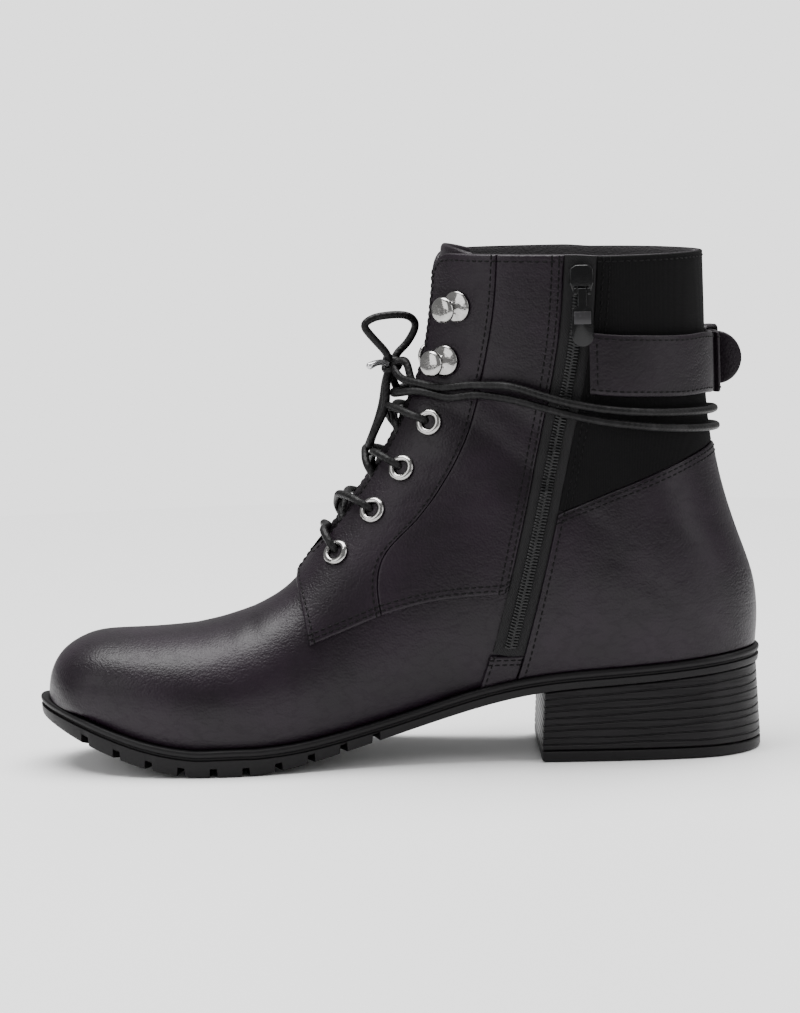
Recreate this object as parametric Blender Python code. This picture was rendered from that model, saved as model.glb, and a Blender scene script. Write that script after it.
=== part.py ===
"""Lace-up ankle boot for the right foot, with a zip on the medial side and a buckled strap.

Metres, +Z up.  The toe points along -X, the medial side faces -Y, and the origin lies on
the floor under the heel.  Lengths in the tables are shares of the named sizes below.
"""
import math

import bmesh
import bpy
import numpy as np
from mathutils import Matrix, Vector

# Driving sizes of the last and the sole
SOLE_LENGTH = 0.270
HEEL_BACK = 0.039
BALL_WIDTH = 0.090
HEEL_HEIGHT = 0.0324
TOE_SPRING = 0.0194
SOLE_THICKNESS = 0.0098
UPPER_HEIGHT = 0.149
WELT_LEDGE = 0.0032

# Thicknesses of the leather and fabric pieces
WALL = 0.0022
OVERLAY = 0.0014
GORE_THICKNESS = 0.0008
ZIP_TAPE_THICKNESS = 0.0007
ZIP_COIL_THICKNESS = 0.0011
TONGUE_THICKNESS = 0.0026
TONGUE_PLAY = 0.0009
TONGUE_RISE = 0.0030
INSOLE_THICKNESS = 0.0030
STRAP_THICKNESS = 0.0020
GAP = 0.0003

# Heel block and tread
TOP_LIFT_THICKNESS = 0.0040
HEEL_BREAST = 0.0445
HEEL_LAYERS = 7
LAYER_STEP = 0.0006
HEEL_TAPER = 0.0013
LUG_PITCH = 0.0120
LUG_CHANNEL = 0.0024
LUG_DEPTH = 0.0030

# Throat, lace and hardware
THROAT_HALF = 0.0100
COLLAR_CORNER = 0.0090
COLLAR_STEP = 0.0010
TONGUE_HALF = 0.0260
LACE_DIAMETER = 0.0029
EYELET_OUTER = 0.0100
EYELET_HOLE = 0.0050
EYELET_RIM = 0.0009
HOOK_BASE = 0.0116
HOOK_CAP = 0.0098
HOOK_HEIGHT = 0.0066
ZIP_WIDTH = 0.0120
COIL_WIDTH = 0.0046
BUCKLE_LENGTH = 0.0230
BUCKLE_WIRE = 0.0026

# Sole seen from the side: along from heel to toe, share of heel height,
# share of toe spring, share of sole thickness
SOLE_PROFILE = (
    (0.000, 1.000, 0.000, 0.65),
    (0.033, 0.985, 0.000, 0.65),
    (0.122, 0.920, 0.000, 0.65),
    (0.222, 0.858, 0.000, 0.66),
    (0.315, 0.784, 0.000, 0.67),
    (0.393, 0.642, 0.000, 0.70),
    (0.493, 0.395, 0.000, 0.71),
    (0.559, 0.238, 0.000, 0.76),
    (0.652, 0.056, 0.000, 0.90),
    (0.700, 0.000, 0.000, 1.00),
    (0.780, 0.000, 0.000, 1.00),
    (0.822, 0.000, 0.075, 1.00),
    (0.889, 0.000, 0.330, 0.98),
    (0.944, 0.000, 0.630, 0.92),
    (1.000, 0.000, 1.000, 0.71),
)

# Sole seen from above: along, medial and lateral half width as shares of the ball width
OUTLINE = (
    (0.00, 0.000, 0.000),
    (0.03, 0.222, 0.227),
    (0.07, 0.302, 0.309),
    (0.12, 0.331, 0.342),
    (0.20, 0.340, 0.358),
    (0.30, 0.329, 0.371),
    (0.42, 0.316, 0.396),
    (0.54, 0.347, 0.438),
    (0.64, 0.429, 0.484),
    (0.72, 0.482, 0.513),
    (0.80, 0.478, 0.502),
    (0.87, 0.429, 0.442),
    (0.93, 0.334, 0.334),
    (0.97, 0.222, 0.219),
    (1.00, 0.000, 0.000),
)

# Sections of the last, from the toe's feather edge over the ridge to the collar.
# Columns: ridge along, ridge rise as a share of the upper height, half widths of the
# medial and lateral side as shares of the ball width, where on the way from base to
# ridge the section is widest, fullness of its upper and lower arc, and the ridge's lean
# to the medial side as a share of the ball width.
SECTIONS = (
    (0.988, 0.000, 0.275, 0.275, 0.02, 2.0, 2.0, 0.00),
    (0.984, 0.058, 0.304, 0.303, 0.12, 2.1, 2.0, 0.01),
    (0.969, 0.119, 0.325, 0.325, 0.18, 2.2, 2.0, 0.02),
    (0.942, 0.171, 0.348, 0.351, 0.22, 2.3, 2.0, 0.03),
    (0.906, 0.213, 0.381, 0.389, 0.25, 2.3, 2.0, 0.04),
    (0.852, 0.248, 0.427, 0.446, 0.27, 2.2, 2.0, 0.06),
    (0.796, 0.274, 0.457, 0.481, 0.27, 2.1, 2.0, 0.07),
    (0.741, 0.294, 0.463, 0.492, 0.27, 2.0, 2.0, 0.07),
    (0.689, 0.327, 0.443, 0.480, 0.28, 2.0, 2.0, 0.07),
    (0.643, 0.378, 0.402, 0.453, 0.29, 1.9, 2.0, 0.07),
    (0.605, 0.457, 0.366, 0.424, 0.30, 1.9, 2.0, 0.06),
    (0.569, 0.533, 0.350, 0.399, 0.31, 1.9, 2.0, 0.05),
    (0.536, 0.610, 0.347, 0.383, 0.32, 1.9, 2.0, 0.04),
    (0.511, 0.675, 0.354, 0.374, 0.32, 1.9, 2.0, 0.03),
    (0.493, 0.733, 0.364, 0.371, 0.33, 1.95, 2.0, 0.02),
    (0.481, 0.780, 0.370, 0.371, 0.33, 2.0, 2.0, 0.02),
    (0.472, 0.819, 0.373, 0.373, 0.33, 2.0, 2.0, 0.01),
    (0.466, 0.853, 0.373, 0.373, 0.34, 2.0, 2.0, 0.01),
    (0.461, 0.884, 0.373, 0.373, 0.35, 2.0, 2.0, 0.00),
    (0.457, 0.915, 0.373, 0.373, 0.37, 2.0, 2.0, 0.00),
    (0.453, 0.947, 0.374, 0.374, 0.39, 2.0, 2.0, 0.00),
    (0.450, 0.978, 0.376, 0.376, 0.41, 2.0, 2.0, 0.00),
    (0.447, 1.011, 0.379, 0.379, 0.43, 2.0, 2.0, 0.00),
    (0.445, 1.043, 0.383, 0.383, 0.45, 2.0, 2.0, 0.00),
    (0.444, 1.072, 0.386, 0.386, 0.46, 2.0, 2.0, 0.00),
    (0.443, 1.102, 0.389, 0.389, 0.46, 2.0, 2.0, 0.00),
)

# Where the first sections end on the feather line, as a turn from heel (0) to toe (1)
FOOT = (0.853, 0.844, 0.833, 0.818, 0.792, 0.745, 0.702, 0.660, 0.616, 0.571, 0.526, 0.476,
        0.424, 0.364, 0.295, 0.213, 0.000)

# Where the later sections end on the back seam: along, rise
BACK = (
    (0.012, 0.000),
    (0.009, 0.075),
    (0.014, 0.169),
    (0.033, 0.277),
    (0.053, 0.398),
    (0.066, 0.518),
    (0.073, 0.653),
    (0.0735, 0.805),
    (0.0745, 0.961),
    (0.0745, 1.001),
)
HEEL_ROW = len(FOOT) - 1
TOP_ROW = len(SECTIONS) - 1

# Seams and edges of the panels, seen from the side: along, rise
FACING_REAR = ((0.524, 0.264), (0.528, 0.345), (0.520, 0.397), (0.483, 0.453), (0.428, 0.550),
               (0.394, 0.661), (0.376, 0.784), (0.362, 0.915), (0.355, 1.062), (0.353, 1.14))
FACING_TAB = ((0.640, 0.420), (0.623, 0.234), (0.524, 0.264))
QUARTER_EDGE_MEDIAL = ((0.524, 0.264), (0.456, 0.259), (0.403, 0.241), (0.356, 0.225))
QUARTER_EDGE_LATERAL = ((0.524, 0.264), (0.457, 0.256), (0.414, 0.240), (0.352, 0.206),
                        (0.306, 0.169), (0.249, 0.114))
ZIP_LINE = ((0.353, 0.069), (0.312, 0.343), (0.279, 0.601), (0.252, 0.860), (0.245, 1.028))
COUNTER_EDGE_MEDIAL = ((0.275, 0.402), (0.200, 0.447), (0.126, 0.489), (0.067, 0.520))
COUNTER_EDGE_LATERAL = ((0.273, -0.04), (0.259, 0.053), (0.247, 0.170), (0.234, 0.267),
                        (0.202, 0.362), (0.122, 0.459), (0.067, 0.520))
GORE_FRONT_LATERAL = ((0.141, 0.441), (0.174, 0.611), (0.210, 0.825), (0.247, 1.017))

# Lace holes from the top: along, rise
EYELETS = ((0.450, 0.689), (0.489, 0.597), (0.530, 0.515), (0.581, 0.433))

# Hooks from the top: along, rise, lift off the facing as a share of the gap
HOOKS = ((0.407, 0.954, 1.6), (0.424, 0.827, 3.0))


def clear_scene():
    for item in list(bpy.data.objects):
        bpy.data.objects.remove(item, do_unlink=True)


clear_scene()


def material(name, colour, roughness, metallic=0.0):
    found = bpy.data.materials.get(name)
    if found:
        return found
    made = bpy.data.materials.new(name)
    made.use_nodes = True
    shader = made.node_tree.nodes["Principled BSDF"]
    shader.inputs["Base Color"].default_value = (*colour, 1.0)
    shader.inputs["Roughness"].default_value = roughness
    shader.inputs["Metallic"].default_value = metallic
    return made


def leather():
    return material("leather", (0.030, 0.026, 0.030), 0.42)


def suede_fabric():
    return material("suede_fabric", (0.010, 0.010, 0.011), 0.85)


def lining():
    return material("lining", (0.045, 0.042, 0.044), 0.80)


def rubber():
    return material("rubber", (0.016, 0.016, 0.017), 0.55)


def nickel():
    return material("nickel", (0.72, 0.70, 0.68), 0.18, 1.0)


def black_metal():
    return material("black_metal", (0.020, 0.020, 0.022), 0.30, 1.0)


def cord_wax():
    return material("waxed_cord", (0.015, 0.015, 0.015), 0.50)


def add_object(name, mesh, finish):
    made = bpy.data.objects.new(name, mesh)
    bpy.context.collection.objects.link(made)
    made.data.materials.clear()
    made.data.materials.append(finish)
    return made


def solid(name, points, faces, finish, crease=35.0):
    """One closed mesh from points and faces, with doubled points joined."""
    mesh = bpy.data.meshes.new(name)
    shape = bmesh.new()
    corners = [shape.verts.new(point) for point in points]
    for face in faces:
        ring = list(dict.fromkeys(face))
        if len(ring) > 2:
            shape.faces.new([corners[index] for index in ring])
    bmesh.ops.remove_doubles(shape, verts=shape.verts, dist=1e-6)
    bmesh.ops.dissolve_degenerate(shape, edges=shape.edges, dist=1e-7)
    loose = [corner for corner in shape.verts if not corner.link_faces]
    bmesh.ops.delete(shape, geom=loose, context="VERTS")
    bmesh.ops.recalc_face_normals(shape, faces=shape.faces)
    shape.to_mesh(mesh)
    shape.free()
    mesh.shade_smooth()
    mesh.set_sharp_from_angle(angle=math.radians(crease))
    return add_object(name, mesh, finish)


def spline(knots, values):
    """Natural cubic spline through the values, which may have several columns."""
    knots = np.asarray(knots, float)
    values = np.asarray(values, float)
    steps = np.diff(knots)
    count = len(knots)
    system = np.eye(count)
    right = np.zeros_like(values)
    for row in range(1, count - 1):
        system[row, row - 1:row + 2] = steps[row - 1], 2 * (steps[row - 1] + steps[row]), steps[row]
        slope_after = (values[row + 1] - values[row]) / steps[row]
        slope_before = (values[row] - values[row - 1]) / steps[row - 1]
        right[row] = 6 * (slope_after - slope_before)
    bends = np.linalg.solve(system, right)

    def at(where):
        span = int(np.clip(np.searchsorted(knots, where) - 1, 0, count - 2))
        before = knots[span + 1] - where
        after = where - knots[span]
        step = steps[span]
        cubic = (bends[span] * before ** 3 + bends[span + 1] * after ** 3) / (6 * step)
        low = (values[span] / step - bends[span] * step / 6) * before
        high = (values[span + 1] / step - bends[span + 1] * step / 6) * after
        return cubic + low + high

    return at


def sole_x(along):
    return HEEL_BACK - along * SOLE_LENGTH


def along_of(x):
    return (HEEL_BACK - x) / SOLE_LENGTH


def turn_of(along):
    """Turn from heel (0) to toe (1), which spaces points evenly round both ends."""
    return math.acos(1 - 2 * min(max(along, 0.0), 1.0)) / math.pi


profile_columns = np.array(SOLE_PROFILE)
profile_at = spline(profile_columns[:, 0], profile_columns[:, 1:])
outline_turns = [turn_of(row[0]) for row in OUTLINE]
outline_at = spline(outline_turns, np.array(OUTLINE)[:, 1:])


def sole_bottom(x):
    heel, spring, _ = profile_at(min(max(along_of(x), 0.0), 1.0))
    return max(heel * HEEL_HEIGHT + spring * TOE_SPRING, 0.0)


def sole_top(x):
    return sole_bottom(x) + profile_at(min(max(along_of(x), 0.0), 1.0))[2] * SOLE_THICKNESS


def outline_point(turn, side):
    half = outline_at(turn)[0 if side < 0 else 1] * BALL_WIDTH
    return Vector((sole_x((1 - math.cos(math.pi * turn)) / 2), side * half))


def sole_edge(turn, side, inset):
    """Point of the sole's outline, moved inwards square to it."""
    step = 0.001
    if turn < step:
        way = Vector((0.0, side))
    elif turn > 1 - step:
        way = Vector((0.0, -side))
    else:
        way = (outline_point(turn + step, side) - outline_point(turn - step, side)).normalized()
    outwards = Vector((way.y, -way.x)) * side
    return outline_point(turn, side) - outwards * inset


# Sections of the upper
section_columns = np.array(SECTIONS)
section_at = spline(range(len(SECTIONS)), section_columns)
foot_at = spline(range(len(FOOT)), np.array(FOOT))
back_at = spline(range(HEEL_ROW, TOP_ROW + 1), np.array(BACK))
ARC_STEPS = 40
section_store = {}


def section(u, side):
    """Points of one half section from the ridge down, and their lengths along it."""
    key = (round(u, 5), side)
    if key in section_store:
        return section_store[key]
    ridge_along, ridge_rise, medial, lateral, widest, top_full, low_full, lean = section_at(u)
    ridge_x = sole_x(ridge_along)
    ridge = Vector((ridge_x, sole_top(ridge_x) + GAP + ridge_rise * UPPER_HEIGHT))
    half = (medial if side < 0 else lateral) * BALL_WIDTH
    if u < HEEL_ROW:
        foot = sole_edge(max(float(foot_at(u)), 0.0), side, WELT_LEDGE)
        base = Vector((foot.x, sole_top(foot.x) + GAP))
        base_half = abs(foot.y)
    else:
        back_along, back_rise = back_at(u)
        back_x = sole_x(back_along)
        base = Vector((back_x, sole_top(back_x) + GAP + back_rise * UPPER_HEIGHT))
        base_half = 0.0
    half = max(half, base_half)
    points = []
    for step in range(ARC_STEPS + 1):
        angle = math.pi / 2 * (1 - step / ARC_STEPS)
        share = widest + (1 - widest) * math.sin(angle) ** (2 / top_full)
        points.append((share, half * max(math.cos(angle), 0.0) ** (2 / top_full)))
    for step in range(1, ARC_STEPS + 1):
        angle = math.pi / 2 * step / ARC_STEPS
        share = widest * (1 - math.sin(angle))
        kept = 1 - (base_half / half) ** low_full
        points.append((share, half * max(1 - kept * math.sin(angle) ** low_full, 0.0) ** (1 / low_full)))
    line = np.array([(base.x + (ridge.x - base.x) * share,
                      -lean * BALL_WIDTH * share + side * reach,
                      base.y + (ridge.y - base.y) * share) for share, reach in points])
    lengths = np.concatenate(([0.0], np.cumsum(np.linalg.norm(np.diff(line, axis=0), axis=1))))
    section_store[key] = (line, lengths, np.array(points)[:, 0])
    return section_store[key]


def surface(u, v):
    """Outer face of the upper: u counts sections, v runs from -1 (medial) to 1 (lateral)."""
    u = min(max(u, 0.0), float(TOP_ROW))
    if abs(v) > 1:
        v = -math.copysign(2 - abs(v), v)
    side = -1 if v < 0 else 1
    line, lengths, _ = section(u, side)
    reach = abs(v) * lengths[-1]
    return Vector([np.interp(reach, lengths, line[:, axis]) for axis in range(3)])


def girth(u, side):
    """Length of a half section from ridge to base."""
    return section(min(max(u, 0.0), float(TOP_ROW)), side)[1][-1]


def outwards(u, v):
    """Unit normal of the outer face."""
    du = 0.06
    dv = 0.012
    high = v + dv
    low = v - dv
    if u < HEEL_ROW:
        high = min(high, 1.0)
        low = max(low, -1.0)
    across = surface(u, high) - surface(u, low)
    up = surface(u + du, v) - surface(u - du, v)
    normal = across.cross(up).normalized()
    middle = section(min(max(u, 0.0), float(TOP_ROW)), 1)[0]
    centre = Vector(((middle[0][0] + middle[-1][0]) / 2, 0.0, (middle[0][2] + middle[-1][2]) / 2))
    if normal.dot(surface(u, v) - centre) < 0:
        normal = -normal
    return normal


def side_point(along, rise):
    """Place seen from the side, from its shares."""
    x = sole_x(along)
    return Vector((x, sole_top(x) + rise * UPPER_HEIGHT))


def locate(x, z, side):
    """Section and share of it under a point seen from the side."""

    def off_line(u):
        line = section(u, side)[0]
        base = line[-1]
        ridge = line[0]
        return (ridge[0] - base[0]) * (z - base[2]) - (ridge[2] - base[2]) * (x - base[0])

    low = 0.3
    high = float(TOP_ROW)
    for _ in range(40):
        middle = (low + high) / 2
        if off_line(middle) * off_line(high) > 0:
            high = middle
        else:
            low = middle
    line, lengths, shares = section(high, side)
    span = line[0] - line[-1]
    share = ((x - line[-1][0]) * span[0] + (z - line[-1][2]) * span[2])
    share /= span[0] ** 2 + span[2] ** 2
    reach = np.interp(-share, -shares, lengths)
    return high, side * reach / lengths[-1]


# Grid of the upper, which every panel that lies on it shares
THROAT_END = 9.7
GRID_ROWS = (0, 0.6, 1.2, 2, 3, 4.2, 5.5, 6.8, 8, 9, THROAT_END, 10.5, 11.5, 12.5, 13.4, 14.2, 14.8,
             15.3, 15.7, 16, 17, 18.2, 19.5, 21, 22.5, 23.8, 25)
GRID_HALF = 11
THROAT_ROW = GRID_ROWS.index(THROAT_END)
THROAT_START = 0.62
TOP_ROW_PITCH = 0.030 * UPPER_HEIGHT


def throat_reach(row):
    """Distance of the throat's edge from the ridge along a section."""
    grown = min(max((row - THROAT_ROW) / 3, 0.0), 1.0)
    rounded = math.sqrt(1 - (1 - grown) ** 2)
    return THROAT_HALF * (THROAT_START + (1 - THROAT_START) * rounded)


def column_share(row, column):
    """Share v of a grid column: the first lies on the throat's edge."""
    if column == 0:
        return 0.0
    side = -1 if column < 0 else 1
    start = throat_reach(row) / girth(GRID_ROWS[row], side)
    even = (abs(column) - 1) / (GRID_HALF - 1)
    eased = (1 - math.cos(math.pi * even)) / 2
    return side * (start + (1 - start) * (0.55 * even + 0.45 * eased))


def collar_row(v):
    """Last section at a column: rounded at the throat, lower behind the zip."""
    side = -1 if v < 0 else 1
    reach = abs(v) * girth(TOP_ROW, side) - THROAT_HALF
    corner = 1 - min(max(reach / COLLAR_CORNER, 0.0), 1.0)
    rounding = COLLAR_CORNER * (1 - math.sqrt(1 - corner * corner))
    drop = min(max((abs(v) - 0.50) / 0.09, 0.0), 1.0)
    step = COLLAR_STEP * drop * drop * (3 - 2 * drop)
    return TOP_ROW - (rounding + step) / TOP_ROW_PITCH


def grid_point(row, column):
    u = GRID_ROWS[row]
    v = column_share(row, column)
    if u > HEEL_ROW:
        u = HEEL_ROW + (u - HEEL_ROW) * (collar_row(v) - HEEL_ROW) / (TOP_ROW - HEEL_ROW)
    return u, v


def convex_halves(corners, places):
    """Two triangles of a cell, split along its outermost diagonal."""
    one, two, three, four = (places[corner][0] for corner in corners)
    normal = places[corners[0]][1]
    if normal.dot(one + three - two - four) > 0:
        return [tuple(corners[:3]), (corners[0], corners[2], corners[3])]
    return [tuple(corners[1:]), (corners[0], corners[1], corners[3])]


def shell(name, lift, thickness, finish, open_throat=True):
    """Closed wall that follows the whole upper, from lift to lift + thickness outside it."""
    rows = len(GRID_ROWS)
    columns = range(-GRID_HALF, GRID_HALF + 1)
    points = []
    places = []
    index = {}
    for row in range(rows):
        for column in columns:
            if GRID_ROWS[row] >= HEEL_ROW and column == GRID_HALF:
                index[row, column] = index[row, -GRID_HALF]
                continue
            u, v = grid_point(row, column)
            place = surface(u, v)
            normal = outwards(u, v)
            outer = place + normal * (lift + thickness)
            inner = place + normal * lift
            on_rim = row == 0 or row == rows - 1 or (abs(column) == GRID_HALF and u <= HEEL_ROW)
            if on_rim:
                outer.z = place.z
                inner.z = place.z
            index[row, column] = len(points)
            points += [outer, inner]
            places += [(place, normal), (place, normal)]
    cells = []
    for row in range(rows - 1):
        for column in range(-GRID_HALF, GRID_HALF):
            if open_throat and row >= THROAT_ROW and column in (-1, 0):
                continue
            corners = [index[row, column], index[row, column + 1],
                       index[row + 1, column + 1], index[row + 1, column]]
            cells += convex_halves(corners, places)
    faces = []
    sides = {}
    for cell in cells:
        faces.append(cell)
        faces.append(tuple(corner + 1 for corner in reversed(cell)))
        for start, end in zip(cell, cell[1:] + cell[:1]):
            if (end, start) in sides:
                del sides[end, start]
            else:
                sides[start, end] = True
    for start, end in sides:
        faces.append((start, start + 1, end + 1, end))
    return solid(name, points, faces, finish)


def hide_cutter(made):
    made.hide_render = True
    made.display_type = "WIRE"
    return made


def make_cutter(name, points, faces):
    return hide_cutter(solid(name, points, faces, leather()))


def prism(name, outline, low, high):
    """Guide with an outline seen from the side, between two Y values."""
    count = len(outline)
    points = [(x, low, z) for x, z in outline] + [(x, high, z) for x, z in outline]
    faces = [tuple(range(count)), tuple(range(count, 2 * count))]
    for corner in range(count):
        after = (corner + 1) % count
        faces.append((corner, after, count + after, count + corner))
    return make_cutter(name, points, faces)


def apply_cut(target, cutter, operation):
    cut = target.modifiers.new(cutter.name, "BOOLEAN")
    cut.operation = operation
    cut.solver = "EXACT"
    cut.object = cutter
    return cut


def seam(table, count, shift=0.0, drop=0.0):
    """Smooth line through a table of side points, moved along X by shift."""
    places = np.array([side_point(*row) for row in table])
    lengths = np.concatenate(([0.0], np.cumsum(np.linalg.norm(np.diff(places, axis=0), axis=1))))
    at = spline(lengths, places)
    line = [at(lengths[-1] * step / count) for step in range(count + 1)]
    return [(float(x) + shift, float(z) + drop) for x, z in line]


def corner_points(table, shift=0.0):
    return [(side_point(*row).x + shift, side_point(*row).y) for row in table]


def panel(name, outline, low, high, lift, thickness, finish):
    """Panel cut from a shell of the upper's own form by an outline seen from the side."""
    made = shell(name, lift, thickness, finish)
    apply_cut(made, prism(name + "_outline", outline, low, high), "INTERSECT")
    return made


FAR = 0.12
ABOVE = UPPER_HEIGHT + HEEL_HEIGHT + 0.05
NUDGE = GAP / 2


def frame_at(u, v, lift):
    """Matrix on the upper: X rearwards along the side, Z outwards."""
    normal = outwards(u, v)
    place = surface(u, v) + normal * lift
    upwards = Vector((0, 0, 1))
    rear = upwards.cross(normal) if v < 0 else normal.cross(upwards)
    rear.normalize()
    if rear.x < 0:
        rear = -rear
    rise = normal.cross(rear)
    turned = Matrix((rear, rise, normal)).transposed().to_4x4()
    turned.translation = place
    return turned


# Sole pieces
def rib_solid(name, turns, profile, finish):
    """Solid lofted through ribs; profile gives each rib's (inset, height) points."""
    points = []
    faces = []
    size = None
    for turn in turns:
        rib = profile(turn)
        size = len(rib)
        for side in (-1, 1):
            chain = rib if side < 0 else list(reversed(rib))
            for inset, height in chain:
                edge = sole_edge(turn, side, inset)
                points.append((edge.x, edge.y, height))
    loop = 2 * size
    for rib_number in range(len(turns) - 1):
        start = rib_number * loop
        for corner in range(loop):
            after = (corner + 1) % loop
            faces.append((start + corner, start + after,
                          start + loop + after, start + loop + corner))
    return solid(name, points, faces, finish)


LIP = 0.0022
SIDE_GROOVE = 0.0008


def channel_centres():
    """X of each tread channel, from behind the ball to the toe."""
    first = sole_x(0.535)
    last = sole_x(0.972)
    count = int((first - last) / LUG_PITCH)
    return [first - number * LUG_PITCH for number in range(count + 1)]


def outsole_profile(turn, in_channel):
    x = outline_point(turn, 1).x
    top = sole_top(x)
    bottom = sole_bottom(x)
    tread = bottom + (LUG_DEPTH if in_channel else 0.0)
    return [(0.0, top), (0.0, top - LIP), (SIDE_GROOVE, top - LIP - 0.0006),
            (0.0002, top - LIP - 0.0013), (0.0005, tread + 0.0005), (0.0016, tread)]


def make_outsole():
    plain = [0.0, 0.04, 0.08, 0.12, 0.16, 0.205, 0.26, 0.32, 0.375, 0.41, 0.45, 0.49, 0.52]
    marks = [(turn, False) for turn in plain]
    for centre in channel_centres():
        half = LUG_CHANNEL / 2
        for offset, inside in ((half + 0.0004, False), (half, True), (-half, True),
                               (-half - 0.0004, False)):
            marks.append((turn_of(along_of(centre + offset)), inside))
    marks += [(0.94, False), (0.97, False), (1.0, False)]
    marks.sort()
    lookup = dict(marks)
    return rib_solid("outsole", [turn for turn, _ in marks],
                     lambda turn: outsole_profile(turn, lookup[turn]), rubber())


HEEL_STEPS = 7


def heel_ring(inset):
    """Outline of the heel block from above, from the medial breast corner round the back."""
    breast = turn_of(along_of(-HEEL_BREAST))
    turns = [breast * (1 - number / HEEL_STEPS) for number in range(HEEL_STEPS)]
    medial = [sole_edge(turn, -1, inset) for turn in turns]
    lateral = [sole_edge(turn, 1, inset) for turn in reversed(turns)]
    back = [sole_edge(0.0, 1, inset)]
    ring = medial + back + lateral
    ring[0].x += inset
    ring[-1].x += inset
    return ring


def stack(name, levels, finish):
    """Closed stack of rings; each level is (inset, height function of x)."""
    points = []
    faces = []
    for inset, height in levels:
        for place in heel_ring(inset):
            points.append((place.x, place.y, height(place.x)))
    size = len(points) // len(levels)
    for level in range(len(levels) - 1):
        for corner in range(size):
            after = (corner + 1) % size
            faces.append((level * size + corner, level * size + after,
                          (level + 1) * size + after, (level + 1) * size + corner))
    for start in (0, (len(levels) - 1) * size):
        for pair in range(size // 2):
            faces.append((start + pair, start + pair + 1, start + size - 2 - pair,
                          start + size - 1 - pair))
    return solid(name, points, faces, finish)


def make_heel():
    foot = TOP_LIFT_THICKNESS + GAP

    def height(share):
        return lambda x: foot + share * (sole_bottom(x) - GAP - foot)

    levels = [(0.0, height(0.0))]
    for layer in range(1, HEEL_LAYERS):
        share = layer / HEEL_LAYERS
        inset = HEEL_TAPER * share
        levels.append((inset, height(share - 0.02)))
        levels.append((inset + LAYER_STEP, height(share)))
        levels.append((inset, height(share + 0.02)))
    levels.append((HEEL_TAPER, height(1.0)))
    stack("heel", levels, rubber())
    stack("top_lift", [(0.0006, lambda x: 0.0), (0.0, lambda x: 0.0006),
                       (0.0, lambda x: TOP_LIFT_THICKNESS)], rubber())


def make_insole():
    inset = WELT_LEDGE + WALL + 0.0012
    turns = [0.0, 0.04, 0.08, 0.13, 0.2, 0.27, 0.34, 0.41, 0.48, 0.55, 0.61, 0.67, 0.73, 0.79,
             0.84, 0.89, 0.94, 0.97, 1.0]

    def profile(turn):
        x = outline_point(turn, 1).x
        low = sole_top(x) + 2 * GAP
        return [(inset, low + INSOLE_THICKNESS), (inset, low)]

    return rib_solid("insole", turns, profile, lining())


def make_tongue():
    """Tongue under the throat, from the vamp to a little above the collar."""
    rows = (8.6, 9.5, 10.5, 11.4, 12.3, 13.3, 14.5, 16, 18, 20, 22, 24, 25)
    half_columns = 3
    lift = WALL + TONGUE_PLAY
    points = []
    faces = []
    for u in rows:
        for column in range(-half_columns, half_columns + 1):
            side = -1 if column < 0 else 1
            reach = TONGUE_HALF * (0.72 if u < 9 else 1.0)
            v = reach / girth(u, side) * column / half_columns
            normal = outwards(u, v)
            place = surface(u, v)
            if u == rows[-1]:
                place.z += TONGUE_RISE * (1 - (column / half_columns) ** 2)
            points += [place - normal * lift, place - normal * (lift + TONGUE_THICKNESS)]
    width = 2 * half_columns + 1
    for row in range(len(rows) - 1):
        for column in range(width - 1):
            low = 2 * (row * width + column)
            high = low + 2 * width
            faces.append((low, low + 2, high + 2, high))
            faces.append((low + 1, high + 1, high + 3, low + 3))
    last = 2 * (len(rows) - 1) * width
    for column in range(width - 1):
        low = 2 * column
        faces.append((low, low + 1, low + 3, low + 2))
        faces.append((last + low, last + low + 2, last + low + 3, last + low + 1))
    for row in range(len(rows) - 1):
        for low in (2 * row * width, 2 * (row * width + width - 1)):
            faces.append((low, low + 2 * width, low + 2 * width + 1, low + 1))
    return solid("tongue", points, faces, leather())


upper = shell("upper", -WALL, WALL, leather())
make_outsole()
make_heel()
make_insole()
make_tongue()


# Panels that lie on the upper
def ridge_lean():
    """Y of the middle between the two facings' lower ends."""
    return surface(GRID_ROWS[THROAT_ROW], 0.0).y


def facing_outline(shift):
    rear = seam(FACING_REAR, 12, shift)
    tab = corner_points(FACING_TAB)
    ahead = tab[0][0] - 0.03
    return [(ahead, tab[0][1] + 0.03), *tab[:2], *rear, (rear[-1][0], ABOVE), (ahead, ABOVE)]


def make_facings():
    middle = ridge_lean()
    for name, low, high in (("medial", -FAR, middle - NUDGE), ("lateral", middle + NUDGE, FAR)):
        panel("facing_" + name, facing_outline(-NUDGE), low, high, GAP, OVERLAY, leather())


def zip_edge(way):
    """Line of the zip's front (-1) or rear (1) edge."""
    return seam(ZIP_LINE, 8, way * ZIP_WIDTH / 2)


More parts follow.
